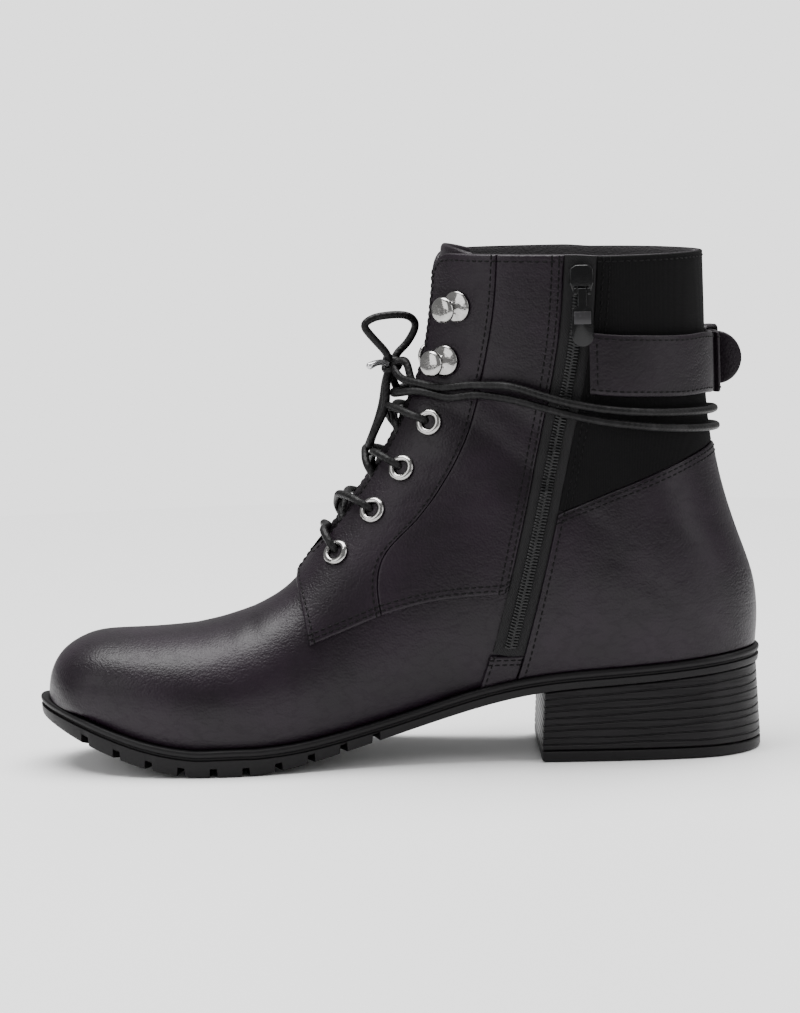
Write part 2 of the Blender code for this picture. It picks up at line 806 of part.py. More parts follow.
def make_quarters():
    rear_seam = seam(FACING_REAR, 12, NUDGE)
    front = zip_edge(-1)
    keep = [(x - NUDGE, z) for x, z in front if z > side_point(*QUARTER_EDGE_MEDIAL[-1]).y]
    low_edge = seam(QUARTER_EDGE_MEDIAL, 4)
    medial = [*reversed(rear_seam), *low_edge[1:], *keep, (keep[-1][0], ABOVE), (rear_seam[-1][0], ABOVE)]
    panel("quarter_medial", medial, -FAR, 0.0, GAP, OVERLAY, leather())
    low_edge = seam(QUARTER_EDGE_LATERAL, 7)
    counter = [(x - NUDGE, z) for x, z in seam(COUNTER_EDGE_LATERAL, 10)
               if side_point(*QUARTER_EDGE_LATERAL[-1]).y < z < side_point(*GORE_FRONT_LATERAL[0]).y]
    gore = [(x - NUDGE, z) for x, z in seam(GORE_FRONT_LATERAL, 4)]
    lateral = [*reversed(rear_seam), *low_edge[1:-1], *counter, *gore, (gore[-1][0], ABOVE),
               (rear_seam[-1][0], ABOVE)]
    panel("quarter_lateral", lateral, 0.0, FAR, GAP, OVERLAY, leather())



def back_end(table, shift=0.0):
    """A top edge carried on behind the back seam."""
    last = side_point(*table[-1])
    return (last.x + 0.03, last.y + shift)


def wrap_panel(name, medial_cut, lateral_cut, lift, thickness, finish):
    """Panel round the back: a shell less what each side's outline cuts away."""
    made = shell(name, lift, thickness, finish)
    apply_cut(made, prism(name + "_medial_cut", medial_cut, -FAR, 0.0004), "DIFFERENCE")
    apply_cut(made, prism(name + "_lateral_cut", lateral_cut, -0.0004, FAR), "DIFFERENCE")
    return made


AHEAD = -0.30
BELOW = -0.02


def make_counter():
    rear = [(x + NUDGE, z) for x, z in zip_edge(1) if z < side_point(*COUNTER_EDGE_MEDIAL[0]).y]
    top = seam(COUNTER_EDGE_MEDIAL, 4)
    medial = [(AHEAD, BELOW), (rear[0][0] - 0.003, BELOW), *rear, *top,
              back_end(COUNTER_EDGE_MEDIAL), (FAR, ABOVE), (AHEAD, ABOVE)]
    front = seam(COUNTER_EDGE_LATERAL, 10, NUDGE)
    lateral = [(AHEAD, BELOW), (front[0][0] - 0.001, BELOW), *front,
               back_end(COUNTER_EDGE_LATERAL), (FAR, ABOVE), (AHEAD, ABOVE)]
    wrap_panel("back_counter", medial, lateral, GAP, OVERLAY, leather())


def make_gore():
    corner = side_point(*COUNTER_EDGE_MEDIAL[0])
    rear = [(x + NUDGE, z) for x, z in zip_edge(1) if z > corner.y]
    top = seam(COUNTER_EDGE_MEDIAL, 4, 0.0, GAP)
    medial = [(AHEAD, BELOW), (FAR, BELOW), back_end(COUNTER_EDGE_MEDIAL, GAP), *reversed(top),
              *rear, (rear[-1][0], ABOVE), (AHEAD, ABOVE)]
    top = [(x, z) for x, z in seam(COUNTER_EDGE_LATERAL, 10, 0.0, GAP)
           if z > side_point(*GORE_FRONT_LATERAL[0]).y]
    front = seam(GORE_FRONT_LATERAL, 4, NUDGE)
    lateral = [(AHEAD, BELOW), (FAR, BELOW), back_end(COUNTER_EDGE_LATERAL, GAP), *reversed(top),
               *front, (front[-1][0], ABOVE), (AHEAD, ABOVE)]
    wrap_panel("gore", medial, lateral, GAP, GORE_THICKNESS, suede_fabric())


COIL_LIFT = 2 * GAP + ZIP_TAPE_THICKNESS
COIL_PLAY = 0.0003
SLIDER_LIFT = COIL_LIFT + COIL_PLAY + ZIP_COIL_THICKNESS + GAP


def make_zip():
    for name, lift, half, thickness, finish in (
            ("zip_tape", GAP + COIL_PLAY / 2, ZIP_WIDTH / 2 - GAP, ZIP_TAPE_THICKNESS, suede_fabric()),
            ("zip_coil", COIL_LIFT + COIL_PLAY, COIL_WIDTH / 2, ZIP_COIL_THICKNESS, black_metal())):
        stations = []
        for x, z in seam(ZIP_LINE, 14):
            u, v = locate(x, z, -1)
            normal = outwards(u, v)
            across = Vector((-normal.y, normal.x, 0.0)).normalized()
            stations.append((surface(u, v) + normal * (lift + thickness / 2), across, normal))
        ribbon(name, stations, half, thickness, finish)


def ribbon(name, stations, half, thickness, finish):
    """Strip through stations of (middle, way across, way out)."""
    points = []
    faces = []
    for middle, across, out in stations:
        for way_across, way_out in ((-1, -1), (1, -1), (1, 1), (-1, 1)):
            points.append(middle + across * half * way_across + out * thickness / 2 * way_out)
    for number in range(len(stations) - 1):
        for corner in range(4):
            after = (corner + 1) % 4
            faces.append((4 * number + corner, 4 * number + after,
                          4 * number + 4 + after, 4 * number + 4 + corner))
    last = 4 * (len(stations) - 1)
    faces += [(0, 1, 2, 3), (last, last + 1, last + 2, last + 3)]
    return solid(name, points, faces, finish)


def plate(name, outline, low, high, finish, place=None):
    """Flat piece with an outline in X and Y between two heights, in its own frame."""
    count = len(outline)
    points = [Vector((x, y, low)) for x, y in outline] + [Vector((x, y, high)) for x, y in outline]
    faces = [tuple(range(count)), tuple(range(count, 2 * count))]
    for corner in range(count):
        after = (corner + 1) % count
        faces.append((corner, after, count + after, count + corner))
    made = solid(name, points, faces, finish)
    if place:
        made.matrix_world = place
    return made


def turned_solid(name, turns, profile, place, finish, shift=None):
    """Round piece about the Z of place; profile gives (radius, height) points as a ring."""
    points = []
    faces = []
    count = len(profile)
    for number in range(turns):
        angle = 2 * math.pi * number / turns
        for radius, height in profile:
            slide = shift(height) if shift else Vector((0, 0, 0))
            points.append(place @ (Vector((radius * math.cos(angle), radius * math.sin(angle),
                                           height)) + slide))
    for number in range(turns):
        after = (number + 1) % turns
        for corner in range(count):
            beyond = (corner + 1) % count
            faces.append((number * count + corner, after * count + corner,
                          after * count + beyond, number * count + beyond))
    return solid(name, points, faces, finish)


EYELET_BARREL = 0.0004
ROUND_SIDES = 8
FLANGE_LIFT = 3 * GAP + OVERLAY


def eyelet_places():
    for number, shares in enumerate(EYELETS, 1):
        for name, side in (("medial", -1), ("lateral", 1)):
            spot = side_point(*shares)
            u, v = locate(spot.x, spot.y, side)
            yield f"eyelet_{name}_{number}", u, v


def make_eyelets(pierced):
    barrel = EYELET_HOLE / 2 + EYELET_BARREL
    outer = EYELET_OUTER / 2
    depth = FLANGE_LIFT + WALL * 0.6
    profile = [(EYELET_HOLE / 2, EYELET_RIM * 0.7), (outer - 0.0012, EYELET_RIM), (outer, 0.0),
               (barrel, 0.0), (barrel, -depth), (EYELET_HOLE / 2, -depth)]
    for name, u, v in eyelet_places():
        place = frame_at(u, v, FLANGE_LIFT)
        turned_solid(name, ROUND_SIDES, profile, place, nickel())
        ring = [(0.0, EYELET_RIM), (barrel + GAP, EYELET_RIM), (barrel + GAP, -depth - WALL),
                (0.0, -depth - WALL)]
        cutter = turned_solid(name + "_hole", ROUND_SIDES, ring, place, nickel())
        hide_cutter(cutter)
        facing = "facing_medial" if "medial" in name else "facing_lateral"
        apply_cut(pierced, cutter, "DIFFERENCE")
        apply_cut(bpy.data.objects[facing], cutter, "DIFFERENCE")


def make_hooks():
    base = HOOK_BASE / 2
    cap = HOOK_CAP / 2
    neck = 0.0019
    profile = [(0.0, 0.0), (base, 0.0), (base - 0.0006, 0.0010), (neck, 0.0016),
               (neck, HOOK_HEIGHT - 0.0030), (cap, HOOK_HEIGHT - 0.0022),
               (cap * 0.86, HOOK_HEIGHT - 0.0006), (0.0, HOOK_HEIGHT)]
    for number, (along, rise, seat) in enumerate(HOOKS, 1):
        for name, side in (("medial", -1), ("lateral", 1)):
            spot = side_point(along, rise)
            place = frame_at(*locate(spot.x, spot.y, side), GAP + OVERLAY + seat * GAP)
            slide = Vector((-0.0026, -0.0010 * -side, 0.0))

            def shift(height, slide=slide):
                return slide * min(max((height - 0.0016) / (HOOK_HEIGHT - 0.0050), 0.0), 1.0)

            turned_solid(f"hook_{name}_{number}", ROUND_SIDES, profile, place, nickel(), shift)


SLIDER_THICKNESS = 0.0020
SLIDER_OUTLINE = ((-0.0030, -0.0015), (0.0030, -0.0015), (0.0044, 0.0030), (0.0044, 0.0080),
                  (0.0022, 0.0095), (-0.0022, 0.0095), (-0.0044, 0.0080), (-0.0044, 0.0030))
PULL_NECK = 0.0016
PULL_HALF = 0.0039
PULL_LENGTH = 0.0200
PULL_THICKNESS = 0.0015
PULL_END = 0.0012
HINGE_RISE = 0.0020
HINGE_PLACE = (0.245, 0.945)


def hinge_frame():
    """Frame of the pull's hinge: X rearwards along the axis, Y up, Z outwards."""
    spot = side_point(*HINGE_PLACE)
    return frame_at(*locate(spot.x, spot.y, -1), SLIDER_LIFT + SLIDER_THICKNESS + HINGE_RISE)


def make_slider_and_pull():
    hinge = hinge_frame()
    low = -HINGE_RISE - SLIDER_THICKNESS
    body = plate("zip_slider", SLIDER_OUTLINE, low, -HINGE_RISE, black_metal(), hinge)
    for name, side in (("front", -1), ("rear", 1)):
        inner = side * (PULL_NECK + GAP)
        outer = side * (PULL_NECK + GAP + 0.0012)
        ear = [(inner, -0.0013), (outer, -0.0013), (outer, 0.0013), (inner, 0.0013)]
        lug = plate("zip_slider_ear_" + name, ear, -HINGE_RISE - 0.0005, PULL_THICKNESS / 2,
                    black_metal(), hinge)
        apply_cut(body, hide_cutter(lug), "UNION")
    foot = PULL_LENGTH - PULL_HALF
    end = [(PULL_HALF * math.cos(angle), -foot - PULL_HALF * math.sin(angle))
           for angle in (math.pi * step / 6 for step in range(7))]
    outline = [(-PULL_NECK, PULL_END), (-PULL_NECK, -0.0055), (-PULL_HALF, -0.0065)]
    outline += [*reversed(end), (PULL_HALF, -0.0065), (PULL_NECK, -0.0055), (PULL_NECK, PULL_END)]
    plate("zip_pull", outline, -PULL_THICKNESS / 2, PULL_THICKNESS / 2, black_metal(), hinge)


# Buckled strap
STRAP_HALF = 0.0112
TAB_HALF = 0.0100
BAND_LIFT = 3 * GAP + GORE_THICKNESS + STRAP_THICKNESS / 2 + 0.0005
BAND_ROUTE = ((0.2355, 0.766), (0.205, 0.755), (0.170, 0.746), (0.135, 0.737), (0.105, 0.730),
              (0.085, 0.727))
BUCKLE_PLACE = (0.137, 0.727)
BUCKLE_HALF = 0.0135
FRONT_BAR = -0.0070
TAB_REST = 0.0026

# The holed end of the strap from its seam to its tip, in the buckle's frame:
# along the strap as a share of the buckle's length, height off the gore as a share of
# the strap's thickness
TAB_ROUTE = ((-0.93, 0.60), (-0.62, 1.05), (-0.30, 1.30), (0.0, 1.75), (0.35, 2.30), (0.70, 2.65),
             (0.95, 2.75), (1.12, 3.10), (1.30, 3.75), (1.44, 4.55))
BAND_END = ((1.37, -5.1), (1.30, -2.9), (1.15, -0.5), (0.97, 0.55), (0.80, 0.95))


def buckle_frame():
    spot = side_point(*BUCKLE_PLACE)
    return frame_at(*locate(spot.x, spot.y, 1), TAB_REST - STRAP_THICKNESS / 2)


def strap_station(place, shares, way):
    """Station of the strap in the buckle's frame; way is its direction there."""
    middle = place @ Vector((shares[0] * BUCKLE_LENGTH, 0.0, shares[1] * STRAP_THICKNESS))
    turn = place.to_3x3()
    out = turn @ Vector((-way.y, 0.0, way.x)).normalized()
    return middle, turn @ Vector((0, 1, 0)), out


def strap_run(place, route):
    stations = []
    for number, shares in enumerate(route):
        before = route[max(number - 1, 0)]
        after = route[min(number + 1, len(route) - 1)]
        way = Vector(((after[0] - before[0]) * BUCKLE_LENGTH, (after[1] - before[1]) * STRAP_THICKNESS))
        stations.append(strap_station(place, shares, way))
    return stations


def tab_height(x):
    """Height of the holed end's middle above the buckle's frame plane."""
    route = np.array(TAB_ROUTE)
    return float(np.interp(x / BUCKLE_LENGTH, route[:, 0], route[:, 1])) * STRAP_THICKNESS


def make_strap():
    place = buckle_frame()
    ribbon("strap_tab", strap_run(place, TAB_ROUTE), TAB_HALF, STRAP_THICKNESS, leather())
    stations = []
    for shares in BAND_ROUTE:
        spot = side_point(*shares)
        u, v = locate(spot.x, spot.y, -1)
        normal = outwards(u, v)
        stations.append((surface(u, v) + normal * BAND_LIFT, Vector((0, 0, 1)), normal))
    back_row = 22.45
    for v in (-0.97, 1.0, 0.97):
        normal = outwards(back_row, v)
        stations.append((surface(back_row, v) + normal * BAND_LIFT, Vector((0, 0, 1)), normal))
    for middle, across, out in strap_run(place, BAND_END):
        stations.append((middle, -across, -out))
    ribbon("strap_band", stations, STRAP_HALF, STRAP_THICKNESS, leather())


def rounded_loop(half_x, half_y, corner, steps):
    """Closed outline with round corners."""
    loop = []
    for quarter, (sign_x, sign_y) in enumerate(((1, 1), (-1, 1), (-1, -1), (1, -1))):
        for step in range(steps + 1):
            angle = math.pi / 2 * (quarter + step / steps)
            loop.append((sign_x * (half_x - corner) + corner * math.cos(angle),
                         sign_y * (half_y - corner) + corner * math.sin(angle)))
    return loop


def make_buckle():
    place = buckle_frame()
    wire = BUCKLE_WIRE / 2
    reach = STRAP_THICKNESS / 2 + GAP + wire
    half_x = BUCKLE_LENGTH / 2 - wire
    middle_x = FRONT_BAR + BUCKLE_LENGTH / 2
    front_z = tab_height(middle_x - half_x) + reach
    heel_z = tab_height(middle_x + half_x) - reach
    points = []
    faces = []
    loop = rounded_loop(half_x, BUCKLE_HALF, 0.0035, 2)
    sides = 6
    for x, y in loop:
        share = (x + half_x) / (2 * half_x)
        height = front_z + (heel_z - front_z) * share
        centre = Vector((middle_x + x, y, height))
        away = Vector((x - math.copysign(half_x - 0.0035, x) if abs(x) > half_x - 0.0035 else 0.0,
                       y - math.copysign(BUCKLE_HALF - 0.0035, y), 0.0))
        if abs(y) <= BUCKLE_HALF - 0.0035:
            away = Vector((x, 0.0, 0.0))
        away.normalize()
        for number in range(sides):
            angle = 2 * math.pi * number / sides
            points.append(place @ (centre + away * wire * math.cos(angle)
                                   + Vector((0, 0, wire * math.sin(angle)))))
    count = len(loop)
    for number in range(count):
        after = (number + 1) % count
        for corner in range(sides):
            beyond = (corner + 1) % sides
            faces.append((number * sides + corner, after * sides + corner,
                          after * sides + beyond, number * sides + beyond))
    solid("buckle_frame", points, faces, nickel())


def tube(name, path, radius, sides, finish):
    """Round bar along a path, with flat ends."""
    points = []
    faces = []
    out = None
    for number, place in enumerate(path):
        way = (path[min(number + 1, len(path) - 1)] - path[max(number - 1, 0)]).normalized()
        if out is None:
            out = way.orthogonal()
        out = (out - way * out.dot(way)).normalized()
        beside = way.cross(out)
        for corner in range(sides):
            angle = 2 * math.pi * corner / sides
            points.append(place + (out * math.cos(angle) + beside * math.sin(angle)) * radius)
    for number in range(len(path) - 1):
        for corner in range(sides):
            after = (corner + 1) % sides
            faces.append((number * sides + corner, number * sides + after,
                          (number + 1) * sides + after, (number + 1) * sides + corner))
    last = (len(path) - 1) * sides
    faces += [tuple(range(sides)), tuple(range(last, last + sides))]
    return solid(name, points, faces, finish)


# Lace
LACE_RADIUS = LACE_DIAMETER / 2
LACE_LIFT = 0.0053
LACE_SAG = 0.0035
LACE_SPAN = 0.24


def lace_strand(name, start, end, finish):
    """One run of lace between two lace holes, lower over the tongue than over the facings."""
    path = []
    steps = 8
    for step in range(steps + 1):
        share = step / steps
        u = start[0] + (end[0] - start[0]) * share
        v = start[1] + (end[1] - start[1]) * share
        lift = LACE_LIFT - LACE_SAG * (1 - min(abs(share - 0.5) / LACE_SPAN, 1.0) ** 2)
        path.append(surface(u, v) + outwards(u, v) * lift)
    return tube(name, path, LACE_RADIUS, 6, finish)


def make_crossings():
    spots = {name: (u, v) for name, u, v in eyelet_places()}
    count = len(EYELETS)
    runs = [((f"eyelet_medial_{count}"), (f"eyelet_lateral_{count}"))]
    for number in range(1, count):
        runs.append((f"eyelet_medial_{number}", f"eyelet_lateral_{number + 1}"))
        runs.append((f"eyelet_lateral_{number}", f"eyelet_medial_{number + 1}"))
    made = None
    for number, (start, end) in enumerate(runs):
        name = "lace_crossings" if made is None else f"lace_run_{number}"
        strand = lace_strand(name, spots[start], spots[end], cord_wax())
        if made is None:
            made = strand
        else:
            apply_cut(made, hide_cutter(strand), "UNION")


# The lace's two turns round the ankle, seen from the side from the front round the medial
# side, the back and the lateral side: side, along, rise, lift off the upper
WRAP = (
    (-1, 0.474, 0.788, 0.0044), (-1, 0.441, 0.770, 0.0044), (-1, 0.367, 0.747, 0.0042),
    (-1, 0.293, 0.697, 0.0049), (-1, 0.245, 0.665, 0.0049), (-1, 0.145, 0.625, 0.0039),
    (-1, 0.090, 0.609, 0.0037), (1, 0.0725, 0.600, 0.0037), (1, 0.110, 0.602, 0.0037),
    (1, 0.185, 0.640, 0.0038), (1, 0.245, 0.668, 0.0042), (1, 0.363, 0.715, 0.0042),
    (1, 0.441, 0.762, 0.0044), (1, 0.477, 0.768, 0.0044),
    (-1, 0.441, 0.748, 0.0044), (-1, 0.367, 0.718, 0.0042),
    (-1, 0.293, 0.668, 0.0049), (-1, 0.245, 0.636, 0.0049), (-1, 0.145, 0.588, 0.0039),
    (-1, 0.090, 0.567, 0.0037), (1, 0.0700, 0.555, 0.0037), (1, 0.110, 0.563, 0.0037),
    (1, 0.185, 0.612, 0.0038), (1, 0.245, 0.640, 0.0042), (1, 0.363, 0.688, 0.0042),
    (1, 0.441, 0.742, 0.0044), (1, 0.481, 0.747, 0.0044),
)


def make_wrap():
    stations = []
    turns = 0
    last = 0.0
    for side, along, rise, lift in WRAP:
        spot = side_point(along, rise)
        u, v = locate(spot.x, spot.y, side)
        way = v if side < 0 else v - 2
        while way - 2 * turns > last + 0.5:
            turns += 1
        last = way - 2 * turns
        stations.append((last, u, lift))
    stations = np.array(stations)
    lengths = -stations[:, 0]
    at = spline(lengths, stations[:, 1:])
    path = []
    count = 54
    for step in range(count + 1):
        length = lengths[0] + (lengths[-1] - lengths[0]) * step / count
        u, lift = at(length)
        v = (-length + 1) % 2 - 1
        path.append(surface(u, v) + outwards(u, v) * lift)
    return tube("lace_wrap", path, LACE_RADIUS, 6, cord_wax())


def free_place(along, aside, rise):
    """Place in front of the throat; aside is a share of the ball width."""
    spot = side_point(along, rise)
    return Vector((spot.x, aside * BALL_WIDTH, spot.y))


KNOT_PLACE = (0.5019, -0.010, 0.8558)
KNOT_RADIUS = 0.0044

# Free lace at the knot: along, offset in Y, rise
LOOP_UP = ((0.5085, -0.040, 0.8887), (0.5200, -0.051, 0.9204), (0.5322, -0.062, 0.9529),
           (0.5370, -0.064, 0.9732), (0.5281, -0.061, 0.9839), (0.5111, -0.053, 0.9832),
           (0.4907, -0.038, 0.9743), (0.4741, -0.013, 0.9574), (0.4674, 0.013, 0.9343),
           (0.4726, 0.029, 0.9089), (0.4822, 0.027, 0.8899), (0.4919, 0.013, 0.8782))
LOOP_DOWN = ((0.5074, -0.032, 0.8270), (0.5096, -0.058, 0.7919), (0.5119, -0.078, 0.7561),
             (0.5204, -0.089, 0.7266), (0.5285, -0.089, 0.7009), (0.5333, -0.061, 0.6762),
             (0.5348, -0.011, 0.6675), (0.5319, 0.033, 0.6796), (0.5237, 0.051, 0.7067),
             (0.5133, 0.049, 0.7434), (0.5093, 0.032, 0.7870), (0.5074, 0.010, 0.8270))
END_LONG = ((0.5059, 0.043, 0.8377), (0.5107, 0.081, 0.8079), (0.5141, 0.107, 0.7706),
            (0.5189, 0.120, 0.7360), (0.5267, 0.124, 0.6993), (0.5363, 0.120, 0.6615))
END_SHORT = ((0.5159, -0.051, 0.8694), (0.5244, -0.073, 0.8721), (0.5319, -0.089, 0.8702))


def make_knot():
    place = Matrix.Translation(free_place(*KNOT_PLACE))
    profile = [(0.0, KNOT_RADIUS)]
    for step in range(1, 4):
        angle = math.pi * step / 4
        profile.append((KNOT_RADIUS * math.sin(angle), KNOT_RADIUS * math.cos(angle)))
    profile.append((0.0, -KNOT_RADIUS))
    turned_solid("lace_knot", ROUND_SIDES, profile, place, cord_wax())


def cord(name, route):
    """Free lace: a curve with a round section through a smooth route."""
    places = np.array([free_place(*row) for row in route])
    lengths = np.concatenate(([0.0], np.cumsum(np.linalg.norm(np.diff(places, axis=0), axis=1))))
    at = spline(lengths, places)
    count = int(round(lengths[-1] / (2.6 * LACE_DIAMETER)))
    data = bpy.data.curves.new(name, "CURVE")
    data.dimensions = "3D"
    data.bevel_depth = LACE_RADIUS
    data.bevel_resolution = 2
    data.use_fill_caps = True
    line = data.splines.new("POLY")
    line.points.add(count)
    for step in range(count + 1):
        line.points[step].co = (*at(lengths[-1] * step / count), 1.0)
    return add_object(name, data, cord_wax())


def make_free_lace():
    make_knot()
    cord("lace_loop_up", LOOP_UP)
    cord("lace_loop_down", LOOP_DOWN)
    cord("lace_end_long", END_LONG)
    cord("lace_end_short", END_SHORT)


PIN_RADIUS = 0.0008


def make_pin():
    place = buckle_frame()
    wire = BUCKLE_WIRE / 2
    over = STRAP_THICKNESS / 2 + GAP + PIN_RADIUS
    bar = FRONT_BAR + wire
    root = bar + 0.0062
    route = [(root, tab_height(root) + over), (bar + 0.0024, tab_height(bar) + over + 2 * wire + GAP),
             (bar, tab_height(bar) + over + 2 * wire + 2 * GAP),
             (bar - 0.0022, tab_height(bar) + over + 2 * wire + GAP)]
    tube("buckle_pin", [place @ Vector((x, 0.0, z)) for x, z in route], PIN_RADIUS, 6, nickel())


KEEPER_PLACE = 0.0193
KEEPER_WIDTH = 0.0046
KEEPER_THICKNESS = 0.0012
KEEPER_LOW = -0.0013
KEEPER_HIGH = 0.0075


def make_keeper():
    place = buckle_frame()
    half = STRAP_HALF + GAP
    points = []
    for x in (KEEPER_PLACE, KEEPER_PLACE + KEEPER_WIDTH):
        for grow in (0.0, KEEPER_THICKNESS):
            for y, z in ((-half - grow, KEEPER_LOW - grow), (half + grow, KEEPER_LOW - grow),
                         (half + grow, KEEPER_HIGH + grow), (-half - grow, KEEPER_HIGH + grow)):
                points.append(place @ Vector((x, y, z)))
    faces = []
    for corner in range(4):
        after = (corner + 1) % 4
        faces.append((corner, after, 4 + after, 4 + corner))
        faces.append((8 + corner, 8 + after, 12 + after, 12 + corner))
        faces.append((corner, after, 8 + after, 8 + corner))
        faces.append((4 + corner, 4 + after, 12 + after, 12 + corner))
    solid("strap_keeper", points, faces, leather())


make_facings()
make_quarters()
make_counter()
make_gore()
make_zip()
make_eyelets(upper)
make_hooks()
make_slider_and_pull()
make_strap()
make_buckle()
make_pin()
make_keeper()
make_crossings()
make_wrap()
make_free_lace()
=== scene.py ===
"""Looks for the lace-up ankle boot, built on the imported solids.

Metres, +Z up, toe along -X and the zip side facing -Y, in the same frame as the solids.
"""
import math

import bmesh
import bpy
import numpy as np
from mathutils import Matrix, Quaternion, Vector
from mathutils.bvhtree import BVHTree


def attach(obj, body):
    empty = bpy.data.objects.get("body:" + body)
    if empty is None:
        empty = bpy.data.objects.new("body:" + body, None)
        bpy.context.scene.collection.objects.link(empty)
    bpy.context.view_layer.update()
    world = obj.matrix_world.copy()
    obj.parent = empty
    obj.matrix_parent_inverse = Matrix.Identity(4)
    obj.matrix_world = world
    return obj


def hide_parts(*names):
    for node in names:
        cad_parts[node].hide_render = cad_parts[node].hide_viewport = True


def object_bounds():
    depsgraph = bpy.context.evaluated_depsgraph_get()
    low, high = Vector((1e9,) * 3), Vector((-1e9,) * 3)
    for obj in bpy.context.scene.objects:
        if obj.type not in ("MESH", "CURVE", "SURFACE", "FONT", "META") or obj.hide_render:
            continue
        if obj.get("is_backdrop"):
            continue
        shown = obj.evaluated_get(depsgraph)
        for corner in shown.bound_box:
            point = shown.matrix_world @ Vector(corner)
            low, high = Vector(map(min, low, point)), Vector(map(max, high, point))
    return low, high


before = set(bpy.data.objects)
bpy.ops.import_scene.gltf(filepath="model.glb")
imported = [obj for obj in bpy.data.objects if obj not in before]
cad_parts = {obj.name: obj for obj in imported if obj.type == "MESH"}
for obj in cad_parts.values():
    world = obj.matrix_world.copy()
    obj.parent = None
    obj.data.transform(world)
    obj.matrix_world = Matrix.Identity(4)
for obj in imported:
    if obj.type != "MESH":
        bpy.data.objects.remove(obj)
cad_box = [list(corner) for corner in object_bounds()]


# Camera
# A long lens on the zip side, a little above the ankle, rolled as the boot stands in
# the photograph.
LENS = 141.0
CAMERA_PLACE = (-0.107, -1.473, 0.271)
CAMERA_AIM = (-0.0945, 0.0, 0.093)
CAMERA_ROLL = math.radians(-1.4)
lens = bpy.data.cameras.new("camera")
lens.lens = LENS
camera = bpy.data.objects.new("camera", lens)
bpy.context.collection.objects.link(camera)
camera.location = CAMERA_PLACE
camera.rotation_mode = "QUATERNION"
camera.rotation_quaternion = ((Vector(CAMERA_AIM) - camera.location).to_track_quat("-Z", "Y")
                              @ Quaternion((0, 0, 1), CAMERA_ROLL))
bpy.context.scene.camera = camera


# Shader arithmetic
# Port stands for a node's output, so that a surface is written as a sum of what the eye
# sees on it: grain, wear, weave.
class Port:
    """Output of a shader node that takes part in Python arithmetic."""

    def __init__(self, tree, socket=None):
        self.tree = tree
        self.socket = socket

    def node(self, kind, settings, values, output=0):
        made = self.tree.nodes.new(kind)
        for name, value in settings.items():
            setattr(made, name, value)
        for name, value in values.items():
            if isinstance(value, Port):
                self.tree.links.new(value.socket, made.inputs[name])
            else:
                made.inputs[name].default_value = value
        return Port(self.tree, made.outputs[output])

    def math(self, operation, first, second=0.0):
        return self.node("ShaderNodeMath", {"operation": operation}, {0: first, 1: second})

    def __add__(self, other):
        return self.math("ADD", self, other)

    __radd__ = __add__

    def __sub__(self, other):
        return self.math("SUBTRACT", self, other)

    def __rsub__(self, other):
        return self.math("SUBTRACT", other, self)

    def __mul__(self, other):
        return self.math("MULTIPLY", self, other)

    __rmul__ = __mul__

    def __abs__(self):
        return self.math("ABSOLUTE", self)

    def step(self, low, high):
        """0 below low, 1 above high, and smooth between them."""
        return self.node("ShaderNodeMapRange", {"interpolation_type": "SMOOTHSTEP"},
                         {"Value": self, "From Min": low, "From Max": high})

    def blend(self, first, second):
        """Colour between two colours, by this value."""
        return self.node("ShaderNodeMix", {"data_type": "RGBA"}, {0: self, 6: first, 7: second}, 2)

    def into(self, shader, socket):
        self.tree.links.new(self.socket, shader.inputs[socket])


class Finish:
    """Material with even values on its shader, and the ports that its nodes start from."""

    def __init__(self, name, colour, roughness, metallic=0.0, **constants):
        self.material = bpy.data.materials.new(name)
        self.material.use_nodes = True
        self.shader = self.material.node_tree.nodes["Principled BSDF"]
        constants |= {"Base_Color": (*colour, 1.0), "Roughness": roughness, "Metallic": metallic}
        for socket, value in constants.items():
            self.shader.inputs[socket.replace("_", " ")].default_value = value
        self.port = Port(self.material.node_tree)
        self.place = self.port.node("ShaderNodeTexCoord", {}, {}, "Object")

    def noise(self, size, detail=2.0, stretch=None, place=None):
        """Cloudy noise with blotches of the given size, drawn out where stretch is given."""
        place = place or self.place
        if stretch:
            place = self.port.node("ShaderNodeVectorMath", {"operation": "MULTIPLY"}, {0: place, 1: stretch})
        return self.port.node("ShaderNodeTexNoise", {},
                              {"Vector": place, "Scale": 1 / size, "Detail": detail, "Roughness": 0.5})

    def axes(self, place):
        """The three coordinates of a place."""
        split = self.port.node("ShaderNodeSeparateXYZ", {}, {"Vector": place}).socket.node
        return [Port(self.port.tree, socket) for socket in split.outputs]

    def wave(self, place, length):
        """Sine of a place, with waves of the given length."""
        return self.port.math("SINE", place * (2 * math.pi / length))

    def colour(self, share, dark, light):
        share.blend((*dark, 1.0), (*light, 1.0)).into(self.shader, "Base Color")

    def relief(self, height, depth, strength=1.0):
        """Bump of the given depth from a height of 0 to 1."""
        self.port.node("ShaderNodeBump", {}, {"Height": height, "Distance": depth, "Strength": strength},
                       "Normal").into(self.shader, "Normal")


# Free lace
# Round waxed cord, 2.9 mm thick, tied at the front in a small bow: one loop stands up and
# one hangs, a long end hangs beside it, and the short end sticks out of the knot.
LACE_RADIUS = 0.00145
CORD_SIDES = 14
RIB_PITCH = 0.0021
RIBS_ROUND = 4
TUCK = 0.55
DOME = ((0.35, 0.94), (0.75, 0.66), (0.97, 0.25))
SOLE_LENGTH = 0.270
HEEL_BACK = 0.039


